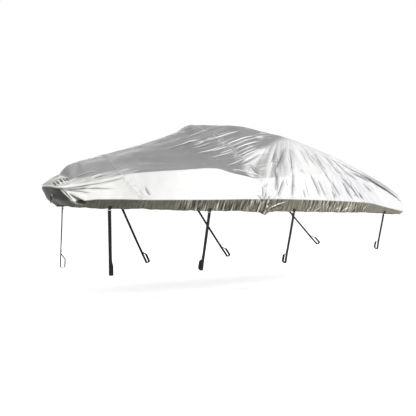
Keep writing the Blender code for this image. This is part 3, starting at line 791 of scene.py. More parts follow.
# Drag lines over the top, from the crown foot towards the crown's side.
TOP_FOLDS = [Fold(*row) for row in (
    (-.66, -.28, .87, -.27, -.25, .98, .011, .0056, .004, ROLL),
    (-.46, -.44, .84, -.04, -.49, .95, .012, .009, .003, ROLL),
    (-1.03, -.35, .71, -.55, -.38, .85, .01, .006, -.004, ROLL),
    (-.8, -.36, .78, -.52, -.4, .85, .007, .0037, .0, ROLL),
    (-.72, -.49, .74, -.45, -.47, .8, .01, .0045, .0, ROLL),
    (-.74, -.6, .67, -.32, -.55, .77, .012, .008, .003, ROLL),
    (-.3, -.55, .78, .19, -.56, .91, .012, .0105, .002, ROLL),
    (-.28, -.58, .75, .3, -.56, .91, .01, .0075, -.003, ROLL),
    (-.6, -.67, .63, -.21, -.63, .71, .011, .006, .0, ROLL),
    (-.21, -.62, .73, .17, -.62, .83, .012, .0105, .002, ROLL),
    (-.2, -.66, .69, .12, -.65, .79, .009, .0056, .0, ROLL),
    (-.46, -.8, .53, -.16, -.73, .62, .012, .0065, .0, ROLL),
    (-.42, -.615, .679, -.22, -.609, .733, .01, .005, .0, ROLL),
    (-.2, -.688, .655, .09, -.681, .747, .01, .0065, .0, ROLL),
    (-.52, -.435, .815, -.36, -.423, .872, .01, .0045, .0, ROLL),
    (-.5, -.567, .706, -.24, -.568, .775, .01, .006, .0, ROLL),
    (-.18, -.72, .62, .3, -.7, .73, .045, .0105, .01, RIDGE),
    (-.12, -.79, .56, -.05, -.87, .48, .016, .007),
    (-.16, -.8, .53, -.02, -.77, .6, .018, .0056, .0, RIDGE),
    (-.2, -.745, .59, .14, -.715, .7, .05, .015, .0, RIDGE),
    (-.2, -.713, .622, .11, -.701, .723, .014, .01, .0, TUCK),
    (-.23, -.78, .55, .1, -.745, .665, .014, .01),
    (-.27, -.845, .482, -.05, -.939, .398, .012, .011, .006, TUCK),
    (-.13, -.8, .542, -.08, -.912, .43, .014, .012), (-.46, -.892, .454, -.12, -.945, .386, .014, .01),
    (-.38, -.86, .48, -.14, -.9, .44, .012, .009, .0, TUCK), (-1.5, -.45, .6, -1.02, -.72, .58, .06, .0028),
    (-1.35, -.3, .68, -.9, -.62, .67, .055, .0024, .0, RIDGE),
)]

# The fan of folds that hangs from the crown's after corner to the belt line and hem.
FAN_FOLDS = [Fold(*row) for row in (
    (.56, -.67, .79, .19, -.89, .48, .028, .015, .01), (.2, -.88, .49, .1, -1.01, .22, .022, .0188, .008),
    (.36, -.72, .71, .17, -.83, .56, .019, .007), (.27, -.96, .37, .11, -1.03, .16, .017, .0174),
    (.5, -.72, .71, .3, -.97, .32, .032, .0188, .01, RIDGE),
    (.61, -.68, .78, .45, -.9, .46, .026, .0145, .01), (.46, -.9, .47, .34, -1.03, .15, .017, .0159),
    (.66, -.72, .74, .58, -.98, .34, .034, .013, .0, RIDGE),
    (.74, -.7, .77, .76, -.89, .54, .015, .007, .006), (.82, -.7, .77, .86, -.88, .55, .014, .008, .006),
    (.86, -.74, .72, .99, -.97, .37, .018, .012, .008), (.94, -.76, .71, 1.0, -.92, .47, .015, .0138),
    (.9, -.8, .65, .93, -.98, .35, .03, .0116, .0, RIDGE),
    (.71, -.94, .44, .82, -1.03, .15, .02, .0174, .006), (.81, -.98, .38, .92, -1.03, .15, .016, .013),
    (1.09, -.76, .7, 1.25, -.95, .42, .021, .0145, .01), (1.24, -.95, .43, 1.37, -1.0, .26, .018, .0123),
    (1.17, -.79, .66, 1.45, -.92, .42, .02, .0123, .008), (1.04, -.98, .36, 1.19, -1.02, .15, .018, .0152),
    (1.23, -.98, .35, 1.36, -1.01, .17, .016, .0123), (.55, -1.0, .25, .56, -1.03, .14, .013, .0101),
    (1.03, -1.0, .23, 1.09, -1.02, .14, .013, .0101), (1.35, -.9, .48, 1.56, -.93, .35, .018, .0116),
    (1.5, -.89, .46, 1.82, -.92, .33, .019, .0123, .006), (1.64, -.95, .33, 1.8, -.97, .21, .016, .0116),
    (1.28, -.97, .38, 1.54, -1.0, .12, .018, .013, .008), (1.26, -.99, .27, 1.41, -1.01, .11, .014, .0109),
    (1.52, -.99, .22, 1.61, -1.0, .11, .013, .0116),
    (1.4, -.94, .4, 1.62, -.98, .24, .026, .0087, .0, RIDGE),
    (.77, -.705, .765, .85, -.87, .565, .012, .005), (.945, -.755, .715, .97, -.9, .5, .012, .005),
    (.6, -.975, .37, .62, -1.03, .14, .012, .007), (.94, -.916, .49, 1.06, -.995, .27, .014, .008),
    (1.22, -.866, .556, 1.34, -.976, .35, .014, .01), (1.4, -.899, .47, 1.62, -.965, .255, .014, .01),
    (1.42, -.971, .327, 1.58, -1.002, .118, .014, .009),
    (-.43, -.958, .363, -.21, -1.021, .168, .01, .0014), (-.19, -1.01, .2, -.12, -1.026, .115, .01, .009),
    (-.08, -.986, .29, -.12, -1.027, .12, .01, .008), (-.04, -1.004, .235, -.11, -1.027, .12, .01, .01),
    (.01, -1.02, .185, -.09, -1.027, .115, .01, .009),
    (-.06, -.987, .01, .27, -1.025, .112, .012, .012, .012, TUCK),
    (-.045, -.986, .008, .2, -1.005, .06, .012, .011, .008),
    (-.075, -.998, .04, .04, -1.018, .098, .01, .011),
    (-.08, -1.0, .05, .0, -1.02, .1, .009, .01, .0, TUCK),
    (.615, -.98, -.011, .677, -1.002, .043, .01, .006, .0, TUCK),
    (.766, -.979, -.014, .848, -.999, .034, .01, .008, .004, TUCK),
    (.952, -.981, -.012, .971, -1.013, .069, .01, .007, .0, TUCK),
    (1.078, -.976, -.02, 1.161, -.998, .035, .01, .008, -.004, TUCK),
    (1.223, -.973, -.023, 1.346, -.991, .025, .01, .009, .004, TUCK),
    (1.421, -.972, -.015, 1.484, -.998, .048, .01, .006, .0, TUCK),
    (1.617, -.961, -.025, 1.663, -.987, .032, .01, .006, .0, TUCK),
    (-1.089, -.904, .044, -1.077, -.945, .121, .01, .007),
    (-.627, -.956, .031, -.628, -.994, .116, .01, .008),
)]

# The sharp line that the crest makes over the quarters and down to the corner of the after end.
CREST_FOLDS = [Fold(*row) for row in (
    (1.24, -.825, .62, 1.6, -.88, .468, .012, .007), (1.46, -.862, .525, 1.84, -.893, .372, .013, .011),
    (1.72, -.886, .425, 2.06, -.925, .25, .014, .014), (1.93, -.917, .315, 2.28, -.935, .152, .014, .014),
    (2.14, -.93, .216, 2.44, -.92, .07, .014, .011), (1.58, -.884, .462, 2.02, -.925, .262, .012, .009),
    (1.96, -.924, .292, 2.38, -.935, .108, .012, .009),
)]

# Creases that run back from the near corner of the bow.
BOW_FOLDS = [Fold(*row) for row in (
    (-2.29, -.183, .281, -1.99, -.418, .334, .016, .009, .006, TUCK),
    (-2.25, -.205, .272, -1.93, -.48, .332, .014, .011, .004),
    (-2.02, -.385, .328, -1.74, -.63, .408, .014, .008, .0, TUCK),
    (-1.98, -.43, .318, -1.75, -.64, .385, .013, .007),
    (-2.27, -.2, .268, -2.05, -.37, .276, .017, .014, -.004),
    (-2.13, -.29, .274, -1.84, -.59, .268, .018, .008),
    (-2.26, -.21, .258, -2.03, -.4, .222, .016, .011, .006),
    (-2.0, -.34, .385, -1.88, -.405, .43, .016, .008, .0, TUCK),
    (-1.97, -.365, .372, -1.83, -.46, .408, .014, .006),
    (-2.28, -.19, .27, -2.13, -.265, .115, .012, .012, .0, TUCK),
    (-2.25, -.215, .25, -2.15, -.262, .125, .013, .015),
    (-2.235, -.228, .245, -2.12, -.285, .118, .01, .011, .0, TUCK),
    (-2.22, -.235, .238, -2.09, -.32, .112, .017, .015), (-2.14, -.29, .165, -2.06, -.35, .112, .016, .011),
    (-2.185, -.262, .205, -2.065, -.345, .12, .022, .012),
    (-2.15, -.285, .18, -2.04, -.365, .12, .018, .008),
    (-2.283, -.06, .359, -2.15, -.14, .412, .011, .011, .0, TUCK),
    (-2.31, -.02, .345, -2.15, -.14, .415, .013, .01, .0, TUCK),
    (-2.314, -.085, .336, -2.308, -.16, .3, .01, .009),
    (-2.288, -.105, .348, -2.272, -.18, .308, .01, .008),
    (-2.252, -.11, .371, -2.236, -.188, .328, .01, .009),
    (-2.219, -.12, .388, -2.2, -.188, .345, .01, .009),
    (-2.184, -.13, .403, -2.168, -.186, .362, .01, .0075),
    (-2.262, -.105, .364, -2.263, -.185, .315, .009, .008, .0, TUCK),
    (-2.227, -.11, .385, -2.227, -.195, .33, .009, .009, .0, TUCK),
    (-2.192, -.12, .4, -2.193, -.195, .35, .009, .008, .0, TUCK),
    (-2.305, -.165, .3, -2.1, -.205, .388, .013, .008, .0, TUCK),
    (-2.1, -.19, .4, -1.9, -.3, .44, .015, .006, .004, TUCK),
    (-2.2, -.2, .3, -2.02, -.33, .365, .026, .007, .0, RIDGE),
    (-1.57, -.77, .29, -1.53, -.81, .19, .014, .01),
    (-1.62, -.75, .27, -1.58, -.8, .18, .013, .006, .0, RIDGE),
)]

# The same run of cloth on the starboard side, with folds of its own; y is written as for port.
STARBOARD_FOLDS = [Fold(*row) for row in (
    (-.62, -.3, .88, -.22, -.27, .98, .018, .007, -.01, ROLL),
    (-.44, -.46, .83, .02, -.5, .94, .02, .01, .01, ROLL),
    (-.95, -.38, .74, -.6, -.42, .82, .015, .0055, .0, ROLL),
    (-.76, -.58, .68, -.28, -.53, .79, .018, .008, -.01, ROLL),
    (-.34, -.6, .74, .21, -.58, .87, .02, .011, .014, ROLL),
    (-.52, -.7, .6, -.14, -.66, .69, .018, .008, .0, ROLL),
    (-.25, -.68, .67, .14, -.64, .8, .018, .01, .0, ROLL),
    (-.15, -.74, .6, .26, -.72, .7, .042, .013, .0, RIDGE),
    (.6, -.68, .78, .14, -.91, .45, .026, .013, -.012), (.22, -.9, .46, .04, -1.02, .18, .021, .012, .008),
    (.52, -.74, .69, .27, -.98, .31, .034, .012, .0, RIDGE),
    (.63, -.69, .77, .5, -.93, .44, .024, .011, -.008), (.5, -.94, .43, .44, -1.03, .15, .018, .01),
    (.72, -.7, .77, .72, -.9, .5, .019, .011), (.8, -.72, .74, .9, -.97, .38, .02, .012, .01),
    (.92, -.76, .7, 1.09, -.98, .33, .02, .01, -.008), (.7, -.96, .4, .66, -1.03, .15, .018, .01),
    (.94, -.98, .36, 1.0, -1.03, .14, .016, .0085), (1.12, -.78, .66, 1.36, -.97, .35, .021, .01, .01),
    (1.22, -.97, .38, 1.33, -1.01, .15, .016, .009), (1.42, -.88, .49, 1.72, -.94, .3, .02, .0085),
    (1.45, -.97, .34, 1.63, -1.0, .11, .017, .0085),
    (1.34, -.93, .44, 1.56, -.98, .24, .028, .0065, .0, RIDGE),
    (-2.27, -.17, .285, -2.02, -.39, .33, .018, .008, -.006, TUCK),
    (-2.26, -.19, .26, -2.0, -.43, .25, .018, .01), (-2.25, -.2, .24, -2.08, -.36, .19, .016, .008),
    (-2.24, -.21, .21, -2.16, -.28, .12, .013, .009, .0, TUCK),
    (-2.21, -.25, .15, -2.1, -.33, .1, .013, .006), (-1.5, -.79, .28, -1.45, -.83, .19, .015, .006),
)]

# Folds of the after end of the cloth, which both halves of the stern share.
STERN_FOLDS = [Fold(*row) for row in (
    (1.86, -.55, .56, 2.34, -.5, .4, .05, .005, .02),
    (1.95, -.3, .55, 2.38, -.34, .415, .05, .006, .0, RIDGE),
    (2.41, -.55, .29, 2.49, -.62, .08, .034, .005), (2.42, -.25, .38, 2.49, -.18, .06, .038, .0036),
    (2.42, -.78, .21, 2.48, -.84, .03, .026, .005), (2.42, -.42, .34, 2.5, -.46, .08, .03, .006, .0, RIDGE),
)]


FINEST_FOLD = 0.0095  # half width below which the mesh would not carry a fold
FOLD_FADE = 0.22  # share of its length over which a fold fades at each end
FOLD_THROUGH = 0.20  # cloth further behind or before a fold's line than this is left alone
FOLD_RELIEF = 0.0095  # height of a fold at which the finish reads its relief as 1
PLEAT_RELIEF = 0.0065  # the same for a pleat of the hem
PUCKER_RELIEF = 0.007  # and for a seam's pucker
FINE_CREASE = (0.009, 0.0011)  # half width and height
FINE_CREASE_BOW = 0.008
FINE_TROUGHS = 0.7  # share of the fine creases that are troughs
CREASE_LAYERS = 4  # neighbouring creases lie in different layers, so that none blurs another
CREASE_REACH = 0.026  # how far from its line a crease is known
CREASE_SHARE = {RIDGE: 0.0, TROUGH: -1.0, ROLL: 0.9, TUCK: 1.0}
CREASE_LEAST = 0.32  # strength of the lowest crease's line
CREASE_FULL = 0.016  # and it grows to full by this height of fold


class FoldReading(NamedTuple):
    """What one fold does at each point."""

    shift: np.ndarray  # how far it moves the point outwards
    across: np.ndarray  # distance from its line
    share: np.ndarray  # 1 along its middle, 0 past its ends


def with_fine_creases(folds: Sequence[Fold], seed: int, spread: float) -> list[Fold]:
    """Adds a finer crease beside each fold but the ridges, uneven in place and length.

    Args:
        folds: The main folds.
        seed: Chooses the creases; the same seed always gives the same ones.
        spread: How far from its fold a crease may lie.

    Returns:
        The folds, followed by their fine creases.
    """
    chance = np.random.default_rng(seed)
    fine: list[Fold] = []
    for fold in folds:
        if fold.shape is RIDGE:
            continue
        first, last = fold.ends()
        way = last - first
        aside = np.cross(unit(way), unit(chance.normal(size=3))) * chance.uniform(0.4, 1.0) * spread
        start = first + way * chance.uniform(-0.1, 0.4) + aside
        stop = first + way * chance.uniform(0.6, 1.1) + aside * chance.uniform(0.3, 1.2)
        shape = TROUGH if chance.uniform() < FINE_TROUGHS else TUCK
        bow = chance.uniform(-FINE_CREASE_BOW, FINE_CREASE_BOW)
        fine.append(Fold(*start, *stop, *FINE_CREASE, bow, shape))
    return list(folds) + fine


def read_fold(fold: Fold, points: np.ndarray, normals: np.ndarray) -> FoldReading:
    """Works out one fold.

    Args:
        fold: The fold, with its ends in plan and height.
        points: The points of the cloth.
        normals: The outward directions there.

    Returns:
        How far the fold moves each point outwards, and where each point is beside its line.
    """
    start, stop = fold.ends()
    way = stop - start
    length = float(np.linalg.norm(way))
    line = way / length
    from_start = points - start
    along = from_start @ line / length
    off = from_start - np.clip(along, 0.0, 1.0)[..., None] * way
    off = off - np.sum(off * normals, axis=-1, keepdims=True) * normals
    side = np.cross(normals, line)
    across = np.sum(off * side, axis=-1) - fold.bow * np.sin(np.pi * np.clip(along, 0.0, 1.0))
    through = np.abs(np.sum((from_start - along[..., None] * way) * normals, axis=-1))
    far = through > FOLD_THROUGH
    s = across / max(fold.width, FINEST_FOLD)
    ends = level(along / FOLD_FADE) * level((1 - along) / FOLD_FADE)
    ends = np.where(far, 0.0, ends)
    if fold.shape is RIDGE:
        form = np.exp(-s * s)
    elif fold.shape is TROUGH:
        form = -np.exp(-s * s) + 0.35 * np.exp(-((np.abs(s) - 1.9) ** 2))
    elif fold.shape is ROLL:
        lower = np.where(side[..., 2] > 0, -1.0, 1.0)
        form = np.exp(-s * s) - 0.85 * np.exp(-((s - 1.7 * lower) ** 2) / 0.8)
    else:
        form = np.exp(-np.abs(s) * 1.4) - 0.3 * np.exp(-((np.abs(s) - 1.8) ** 2))
    spindle = np.sin(np.pi * np.clip((along + 0.10) / 1.20, 0.0, 1.0)) ** 0.8
    return FoldReading(fold.height * ends * form, across, np.where(far, 0.0, spindle))


# ---- cloth that wanders and gathers
@dataclass
class Wander:
    """Slow, uneven swelling of the cloth; the same seed always gives the same cloth."""

    seed: int
    waves: tuple[tuple[float, float], ...] = ((0.45, 0.0026), (0.21, 0.0014), (0.095, 0.0007))
    per_wave: int = 4
    uneven: tuple[float, float] = (0.7, 1.4)

    def shift(self, points: np.ndarray) -> np.ndarray:
        """Returns how far each point stands out, in metres."""
        chance = np.random.default_rng(self.seed)
        total = np.zeros(points.shape[:-1])
        for length, height in self.waves:
            for _ in range(self.per_wave):
                way = unit(chance.normal(size=3)) / (length * chance.uniform(*self.uneven))
                phase = chance.uniform(0.0, 2 * math.pi)
                total += height / 2 * np.sin(2 * math.pi * (points @ way) + phase)
        return total


class GatherZone(NamedTuple):
    """How strongly the drawcord gathers the hem at one place, by the belt line's x."""

    x: float
    strength: float


BOW_GATHER = 0.20  # at the centre of the bow
GATHER_ZONES = [GatherZone(*row) for row in (
    (-2.20, .35), (-2.05, .18), (-1.70, .08), (-1.58, .25), (-1.48, .08), (-1.27, .12), (-1.17, .90),
    (-.90, 1.0), (-.12, 1.1), (-.02, .90), (.06, .40), (.38, .45), (.60, .80), (1.0, .90), (1.55, .80),
    (1.74, .35), (1.82, .10),
)]
STERN_GATHERS = {"stern corner": 0.12, "stern quarter": 0.45}


@dataclass
class HemGathers:
    """The pleats that the drawcord draws the hem into."""

    surface: CoverSurface
    seed: int
    shortest: float = 0.019
    longest: float = 0.062
    height: float = 0.0175
    lean: float = 0.012  # of a pleat, to either side over the hem's height
    over_belt: float = 0.42  # share of its height that a pleat has at the belt line
    above_belt: float = 0.028  # and how fast it dies out above the line
    flat_by_tab: float = 0.0225  # half width of the flat cloth behind a tab
    tab_fade: float = 0.03
    end_fade: float = 0.1
    tab_places: tuple[float, ...] = ()

    def strength(self, where: np.ndarray) -> np.ndarray:
        """Returns how strongly the hem is gathered at distances along the belt line."""
        place = self.surface.place
        at = [0.0, *(self.surface.at_belt_x(zone.x) for zone in GATHER_ZONES)]
        at += [place[name] for name in STERN_GATHERS]
        zones = [BOW_GATHER, *(zone.strength for zone in GATHER_ZONES), *STERN_GATHERS.values()]
        strength = np.interp(where, at, zones)
        for tab in self.tab_places:
            strength = strength * level((np.abs(where - tab) - self.flat_by_tab) / self.tab_fade)
        return strength

    def pleat(self, where: np.ndarray, drop: np.ndarray) -> np.ndarray:
        """Returns the pleats' form, from -0.55 in the deepest trough to 0.45 on the highest crest.

        Args:
            where: Distances along the belt line.
            drop: How far below the belt line the points are, as a share of the hem band.

        Returns:
            The form at each point.
        """
        chance = np.random.default_rng(self.seed)
        end = self.surface.at[-1]
        steps = chance.uniform(self.shortest, self.longest, int(end / self.shortest) + 4)
        edges = np.concatenate([[0.0], np.cumsum(steps)])
        edges = edges * end / edges[np.searchsorted(edges, end)]
        heights = chance.uniform(0.15, 1.0, len(edges)) ** 1.3
        leans = chance.uniform(-self.lean, self.lean, len(edges))
        lean = np.interp(where, edges, leans) * (drop - 0.5)
        inside = level(where / self.end_fade) * level((end - where) / self.end_fade)
        slid = np.clip(where + lean * inside, 0.0, end)
        i = np.clip(np.searchsorted(edges, slid, side="right") - 1, 0, len(edges) - 2)
        t = (slid - edges[i]) / (edges[i + 1] - edges[i])
        return heights[i] * (np.sin(np.pi * np.clip(t, 0.0, 1.0)) ** 0.8 - 0.55)

    def shift(self, where: np.ndarray, counts: np.ndarray, above: np.ndarray) -> np.ndarray:
        """Works out the gathers.

        Args:
            where: The distance of each section along the belt line.
            counts: The leg count of each column.
            above: How far each point is above the belt line, in metres of cloth.

        Returns:
            How far each point moves outwards, in metres.
        """
        drop = np.broadcast_to(np.clip(counts - Leg.HEM, 0.0, 1.0), above.shape)
        over, under = self.over_belt, 1 - self.over_belt
        grown = np.where(above > 0, over * np.exp(-above / self.above_belt), over + under * level(drop * 1.4))
        form = self.pleat(np.broadcast_to(where[:, None], above.shape), drop)
        return self.height * self.strength(where)[:, None] * grown * form


class Seam(NamedTuple):
    """A sewn seam between two widths of cloth: how high it puckers and how much that shows."""

    pucker: float
    wrinkled: float


CENTRE_ROWS = {"bow centre": 0, "stern centre": -1}  # sections that lie on the centre line
SEAMS = {"seam 1": Seam(0.0030, 0.85), "seam 2": Seam(0.0044, 1.0), "seam 3": Seam(0.0026, 0.35)}


@dataclass(frozen=True)
class HemBunch:
    """The bunch of cloth where the drawcord pulls the lower end of the second seam together."""

    x: float = -0.035
    reach: float = 0.045
    drop: float = 0.020
    bulge: float = 0.014

    def share(self, where: np.ndarray, surface: CoverSurface) -> np.ndarray:
        """Returns how much of the bunch there is at distances along the belt line."""
        return np.exp(-((where - surface.at_belt_x(self.x)) / self.reach) ** 2)


@dataclass(frozen=True)
class ClothRegions:
    """Where the cloth is grey (partly painted shade), where it is streaked with painted shade, and where the
    hem band and the bow's face are painted olive and dark as shade.

    The rises named after x, y and girth are read in metres along x and y, and in legs of the section
    passed from the centre line.
    """

    heights: tuple[float, ...] = (.40, .50, .60, .70, .79, .87, .95)
    grey_end: tuple[float, ...] = (-.24, -.21, -.10, .12, .40, .62, .81)  # x at those heights
    # The veil is painted shade: grey streaks of the folds past the crown's after corner and over the after
    # end.
    veil_end: tuple[float, ...] = (.38, .50, .58, .66, .72, .80, .90)
    veil_fade: float = 0.28
    border_heights: tuple[float, float] = (.60, .92)
    border_width: tuple[float, float] = (.24, .62)  # at those heights
    over_shoulder_girth: Rise = Rise(3.58, 3.40)
    veil_x: Rise = Rise(-0.45, -0.25)
    aft_veil_x: Rise = Rise(1.35, 1.85)
    aft_veil_girth: Rise = Rise(2.42, 2.22)
    quarter_x: Rise = Rise(1.40, 2.00)
    quarter_y: Rise = Rise(0.58, 0.86)
    sliver_girth: tuple[Rise, Rise] = (Rise(0.30, 1.00), Rise(2.36, 2.06))
    sliver: float = 0.58  # painted shade: grey of the quarters' tops
    glow_x: Rise = Rise(-1.40, -1.70)
    glow_girth: Rise = Rise(2.32, 2.77)
    glow: float = 0.46  # painted light: paling of the bow's grey towards its shoulder
    # where the hem band and the bow's face are painted dark as shade
    hem_girth: Rise = Rise(5.35, 5.70)
    face_girth: Rise = Rise(3.45, 3.80)
    face_turn: Rise = Rise(0.42, 0.77)  # how square to the bow the cloth is
    drag_x: tuple[Rise, Rise] = (Rise(-0.95, -0.50), Rise(0.60, 0.15))
    drag_girth: tuple[Rise, Rise] = (Rise(0.0, 0.3), Rise(3.2, 2.9))
    drag_last: float = 3.4
    fan_x: tuple[Rise, Rise] = (Rise(-0.05, 0.30), Rise(2.25, 1.80))  # past the grey, and its end
    fan_girth: Rise = Rise(0.6, 1.2)

    def shares(
        self, points: np.ndarray, where: np.ndarray, counts: np.ndarray, place: dict[str, float]
    ) -> dict[str, np.ndarray]:
        """Works out the regions.

        Args:
            points: The points of the cloth.
            where: The distance of each row along the belt line.
            counts: The legs passed at each column.
            place: The distance of each named section along the belt line.

        Returns:
            The share of each region at each point, by the name that the finish reads.
        """
        girth = np.broadcast_to(counts, points.shape[:2])
        x, out, height = points[..., 0], np.abs(points[..., 1]), points[..., 2]
        border = np.interp(height, self.heights, self.grey_end)
        veil_end = np.interp(height, self.heights, self.veil_end)
        spread = np.interp(height, self.border_heights, self.border_width)
        over_shoulder = self.over_shoulder_girth.share(girth)
        veil = self.veil_x.share(x) * level((veil_end - x) / self.veil_fade) * over_shoulder
        veil = np.maximum(veil, self.aft_veil_x.share(x) * self.aft_veil_girth.share(girth))
        quarter = self.quarter_x.share(x) * self.quarter_y.share(out)
        inner, outer = (edge.share(girth) for edge in self.sliver_girth)
        grey = (1 - np.clip((x - border) / spread + 0.5, 0.0, 1.0)) * over_shoulder
        grey = np.maximum(grey, self.sliver * quarter * inner * outer)
        glow = self.glow_girth.share(girth) * self.glow_x.share(x)
        turn = np.interp(where, [0.0, place["bow corner"], place["bow cheek"]], [1, 1, 0])
        start, stop = (edge.share(x) for edge in self.drag_x)
        top, low = (edge.share(girth) for edge in self.drag_girth)
        past_grey, before_end = self.fan_x[0].share(x - border), self.fan_x[1].share(x)
        return {
            "grey": grey * (1 - self.glow * glow),
            "veil": veil,
            "hem": self.hem_girth.share(girth),
            "face": self.face_turn.share(turn)[:, None] * self.face_girth.share(girth),
            "drag": np.maximum(start * stop * top * low, glow * (girth < self.drag_last)),
            "fan": past_grey * before_end * self.fan_girth.share(girth),
        }


@dataclass
class Panel:
    """One width of the coated cloth, from hem to hem over the centre line."""

    name: str
    start: str
    end: str
    flat: tuple[float, float]
    area: float
    surface: CoverSurface
    finish: bpy.types.Material
    folds: tuple[list[Fold], list[Fold]]
    tabs: tuple[float, ...]
    casing: float = 0.0045  # radius of the hem's rolled edge
    turned_in: float = 0.026  # height of the layer turned in behind the hem
    turned_off: float = 0.0018  # and its least distance from the hem
    lap: float = 0.013  # width of a lapped seam
    lap_rise: float = 0.0016
    seam_line: float = 0.0035  # half width of the thread's line
    seam_reach: float = 0.032  # of the puckers beside a seam
    wrinkle_reach: float = 0.075
    seam_end: float = 0.35  # share of the hem band over which a seam's puckers die out
    spare_row: float = 0.01  # a row past each seam gives both panels the same directions there
    beside_seam: tuple[float, ...] = (0.0, 0.002, 0.0045, 0.0075, 0.011, 0.0135, 0.017, 0.0225)
    seam_room: float = 0.028  # the rows beside a seam take the place of all others this near
    low_reach: float = 0.13  # how far above the belt line the hem's rise and fall die out
    ripple: float = 0.0022  # height of the hem's own rise and fall
    bow_dip: float = 0.034  # sag of the cloth across the bow, ahead of its crest
    dip_x: float = -2.168
    dip_half_width: float = 0.040

    def rows(self) -> np.ndarray:
        """Returns where the rows of points stand, closer together beside a seam."""
        start, end = self.surface.place[self.start], self.surface.place[self.end]
        count = int(round((end - start) / self.surface.pitch))
        places = list(np.linspace(start, end, count + 1))
        beside = np.array(self.beside_seam)
        if self.start in SEAMS:
            places = [p for p in places if p > start + self.seam_room] + list(start + beside)
        if self.end in SEAMS:
            places = [p for p in places if p < end - self.seam_room] + list(end - beside)
        return np.array(sorted(places))

    def half(self, side: int) -> dict[str, np.ndarray]:
        """Works out one half of the panel.

        Args:
            side: 1 for port and -1 for starboard.

        Returns:
            The points and what the finish reads at each: its place on the flat cloth, the relief
            of the folds, and the shares of grey top, hem band, bow face and seam.
        """
        where = self.rows()
        points, normals, counts = self._smooth_cloth(where)
        steps = np.linalg.norm(np.diff(points, axis=1), axis=-1)
        girth = np.concatenate([np.zeros((len(where), 1)), np.cumsum(steps, axis=1)], axis=1)
        belt = girth[:, [int(np.argmin(np.abs(counts - (Leg.BELT + 0.5))))]]
        above = belt - girth
        shift, relief, creases = self._folded(points, normals, side)
        gathers = HemGathers(self.surface, 11 if side > 0 else 29, tab_places=self.tabs)
        pleats = gathers.shift(where, counts, above)
        outer = np.clip(Leg.EDGE - counts, 0.0, self.seam_end) / self.seam_end
        seam, zone, puckers = self._seams(points, girth, outer)
        bunch = HemBunch()
        bunched = bunch.share(where, self.surface)[:, None]
        total = shift + pleats + puckers + bunched * bunch.bulge * level(-above / 0.06 + 0.6)
        moved = points + normals * total[..., None]
        low = level(-above / self.low_reach)
        moved[..., 2] -= bunched * bunch.drop * low
        ripple = np.sin(where * 21.0 + side) + 0.7 * np.sin(where * 47.0 + 2.0 * side)
        moved[..., 2] -= self.ripple * ripple[:, None] * low
        relief = relief + pleats / PLEAT_RELIEF + puckers / PUCKER_RELIEF
        return {
            "points": moved, "u": np.broadcast_to(where[:, None], girth.shape), "v": girth * side,
            "relief": np.clip(relief, -1.0, 1.0), "seam": seam, "pucker": zone,
            "gather": np.broadcast_to(gathers.strength(where)[:, None], girth.shape),
            **creases, **ClothRegions().shares(points, where, counts, self.surface.place),
        }

    def _smooth_cloth(self, where: np.ndarray) -> tuple[np.ndarray, np.ndarray, np.ndarray]:
        """Returns the points before any fold, the outward directions there and the leg counts."""
        seams = [int(end in SEAMS) for end in (self.start, self.end)]
        before, after = [where[0] - self.spare_row] * seams[0], [where[-1] + self.spare_row] * seams[1]
        full = np.array([*before, *where, *after])
        points, counts = self._turn_hem_in(*self.surface.legs(full))
        along, down = np.gradient(points, axis=0), np.gradient(points, axis=1)
        normals = unit(np.cross(down, along))
        normals[:, 0, 1] = 0.0
        for centre, row in CENTRE_ROWS.items():
            if centre in (self.start, self.end):
                normals[row, :, 1] = 0.0
        normals = unit(normals)
        edge = int(np.searchsorted(counts, Leg.EDGE, side="right")) - 1
        normals[:, edge + 1:] = normals[:, edge:edge + 1]
        keep = slice(seams[0], len(full) - seams[1])
        return points[keep], normals[keep], counts

    def _turn_hem_in(self, points: np.ndarray, counts: np.ndarray) -> tuple[np.ndarray, np.ndarray]:
        """Rolls the hem's edge inwards round the drawcord and turns its layer up inside."""
        edge, over = points[:, -1], points[:, -4]
        up = unit(over - edge)
        along = unit(np.gradient(edge, axis=0))
        inward = unit(np.cross(along, up))
        to_spine = (points[:, 0] - edge) * [1.0, 1.0, 0.0]
        spine_side = np.sign(np.sum(inward * to_spine, axis=-1, keepdims=True))
        inward = inward * np.where(spine_side == 0, 1.0, spine_side)
        centre = edge + inward * self.casing
        extra, numbers = [], []
        for k, angle in enumerate(np.radians([30, 65, 100, 140, 180])):
            ring = centre - inward * self.casing * math.cos(angle) - up * self.casing * math.sin(angle)
            extra.append(ring)
            numbers.append(Leg.EDGE + 0.01 + 0.01 * k)
        for k, height in enumerate((0.3, 0.6, 1.0)):
            step_in = self.casing * (2.0 - 1.5 * min(1.0, height * 1.6))
            extra.append(edge + up * self.turned_in * height + inward * max(step_in, self.turned_off))
            numbers.append(Leg.EDGE + 0.10 + 0.05 * k)
        grown = np.concatenate([points, np.stack(extra, axis=1)], axis=1)
        return grown, np.concatenate([counts, numbers])

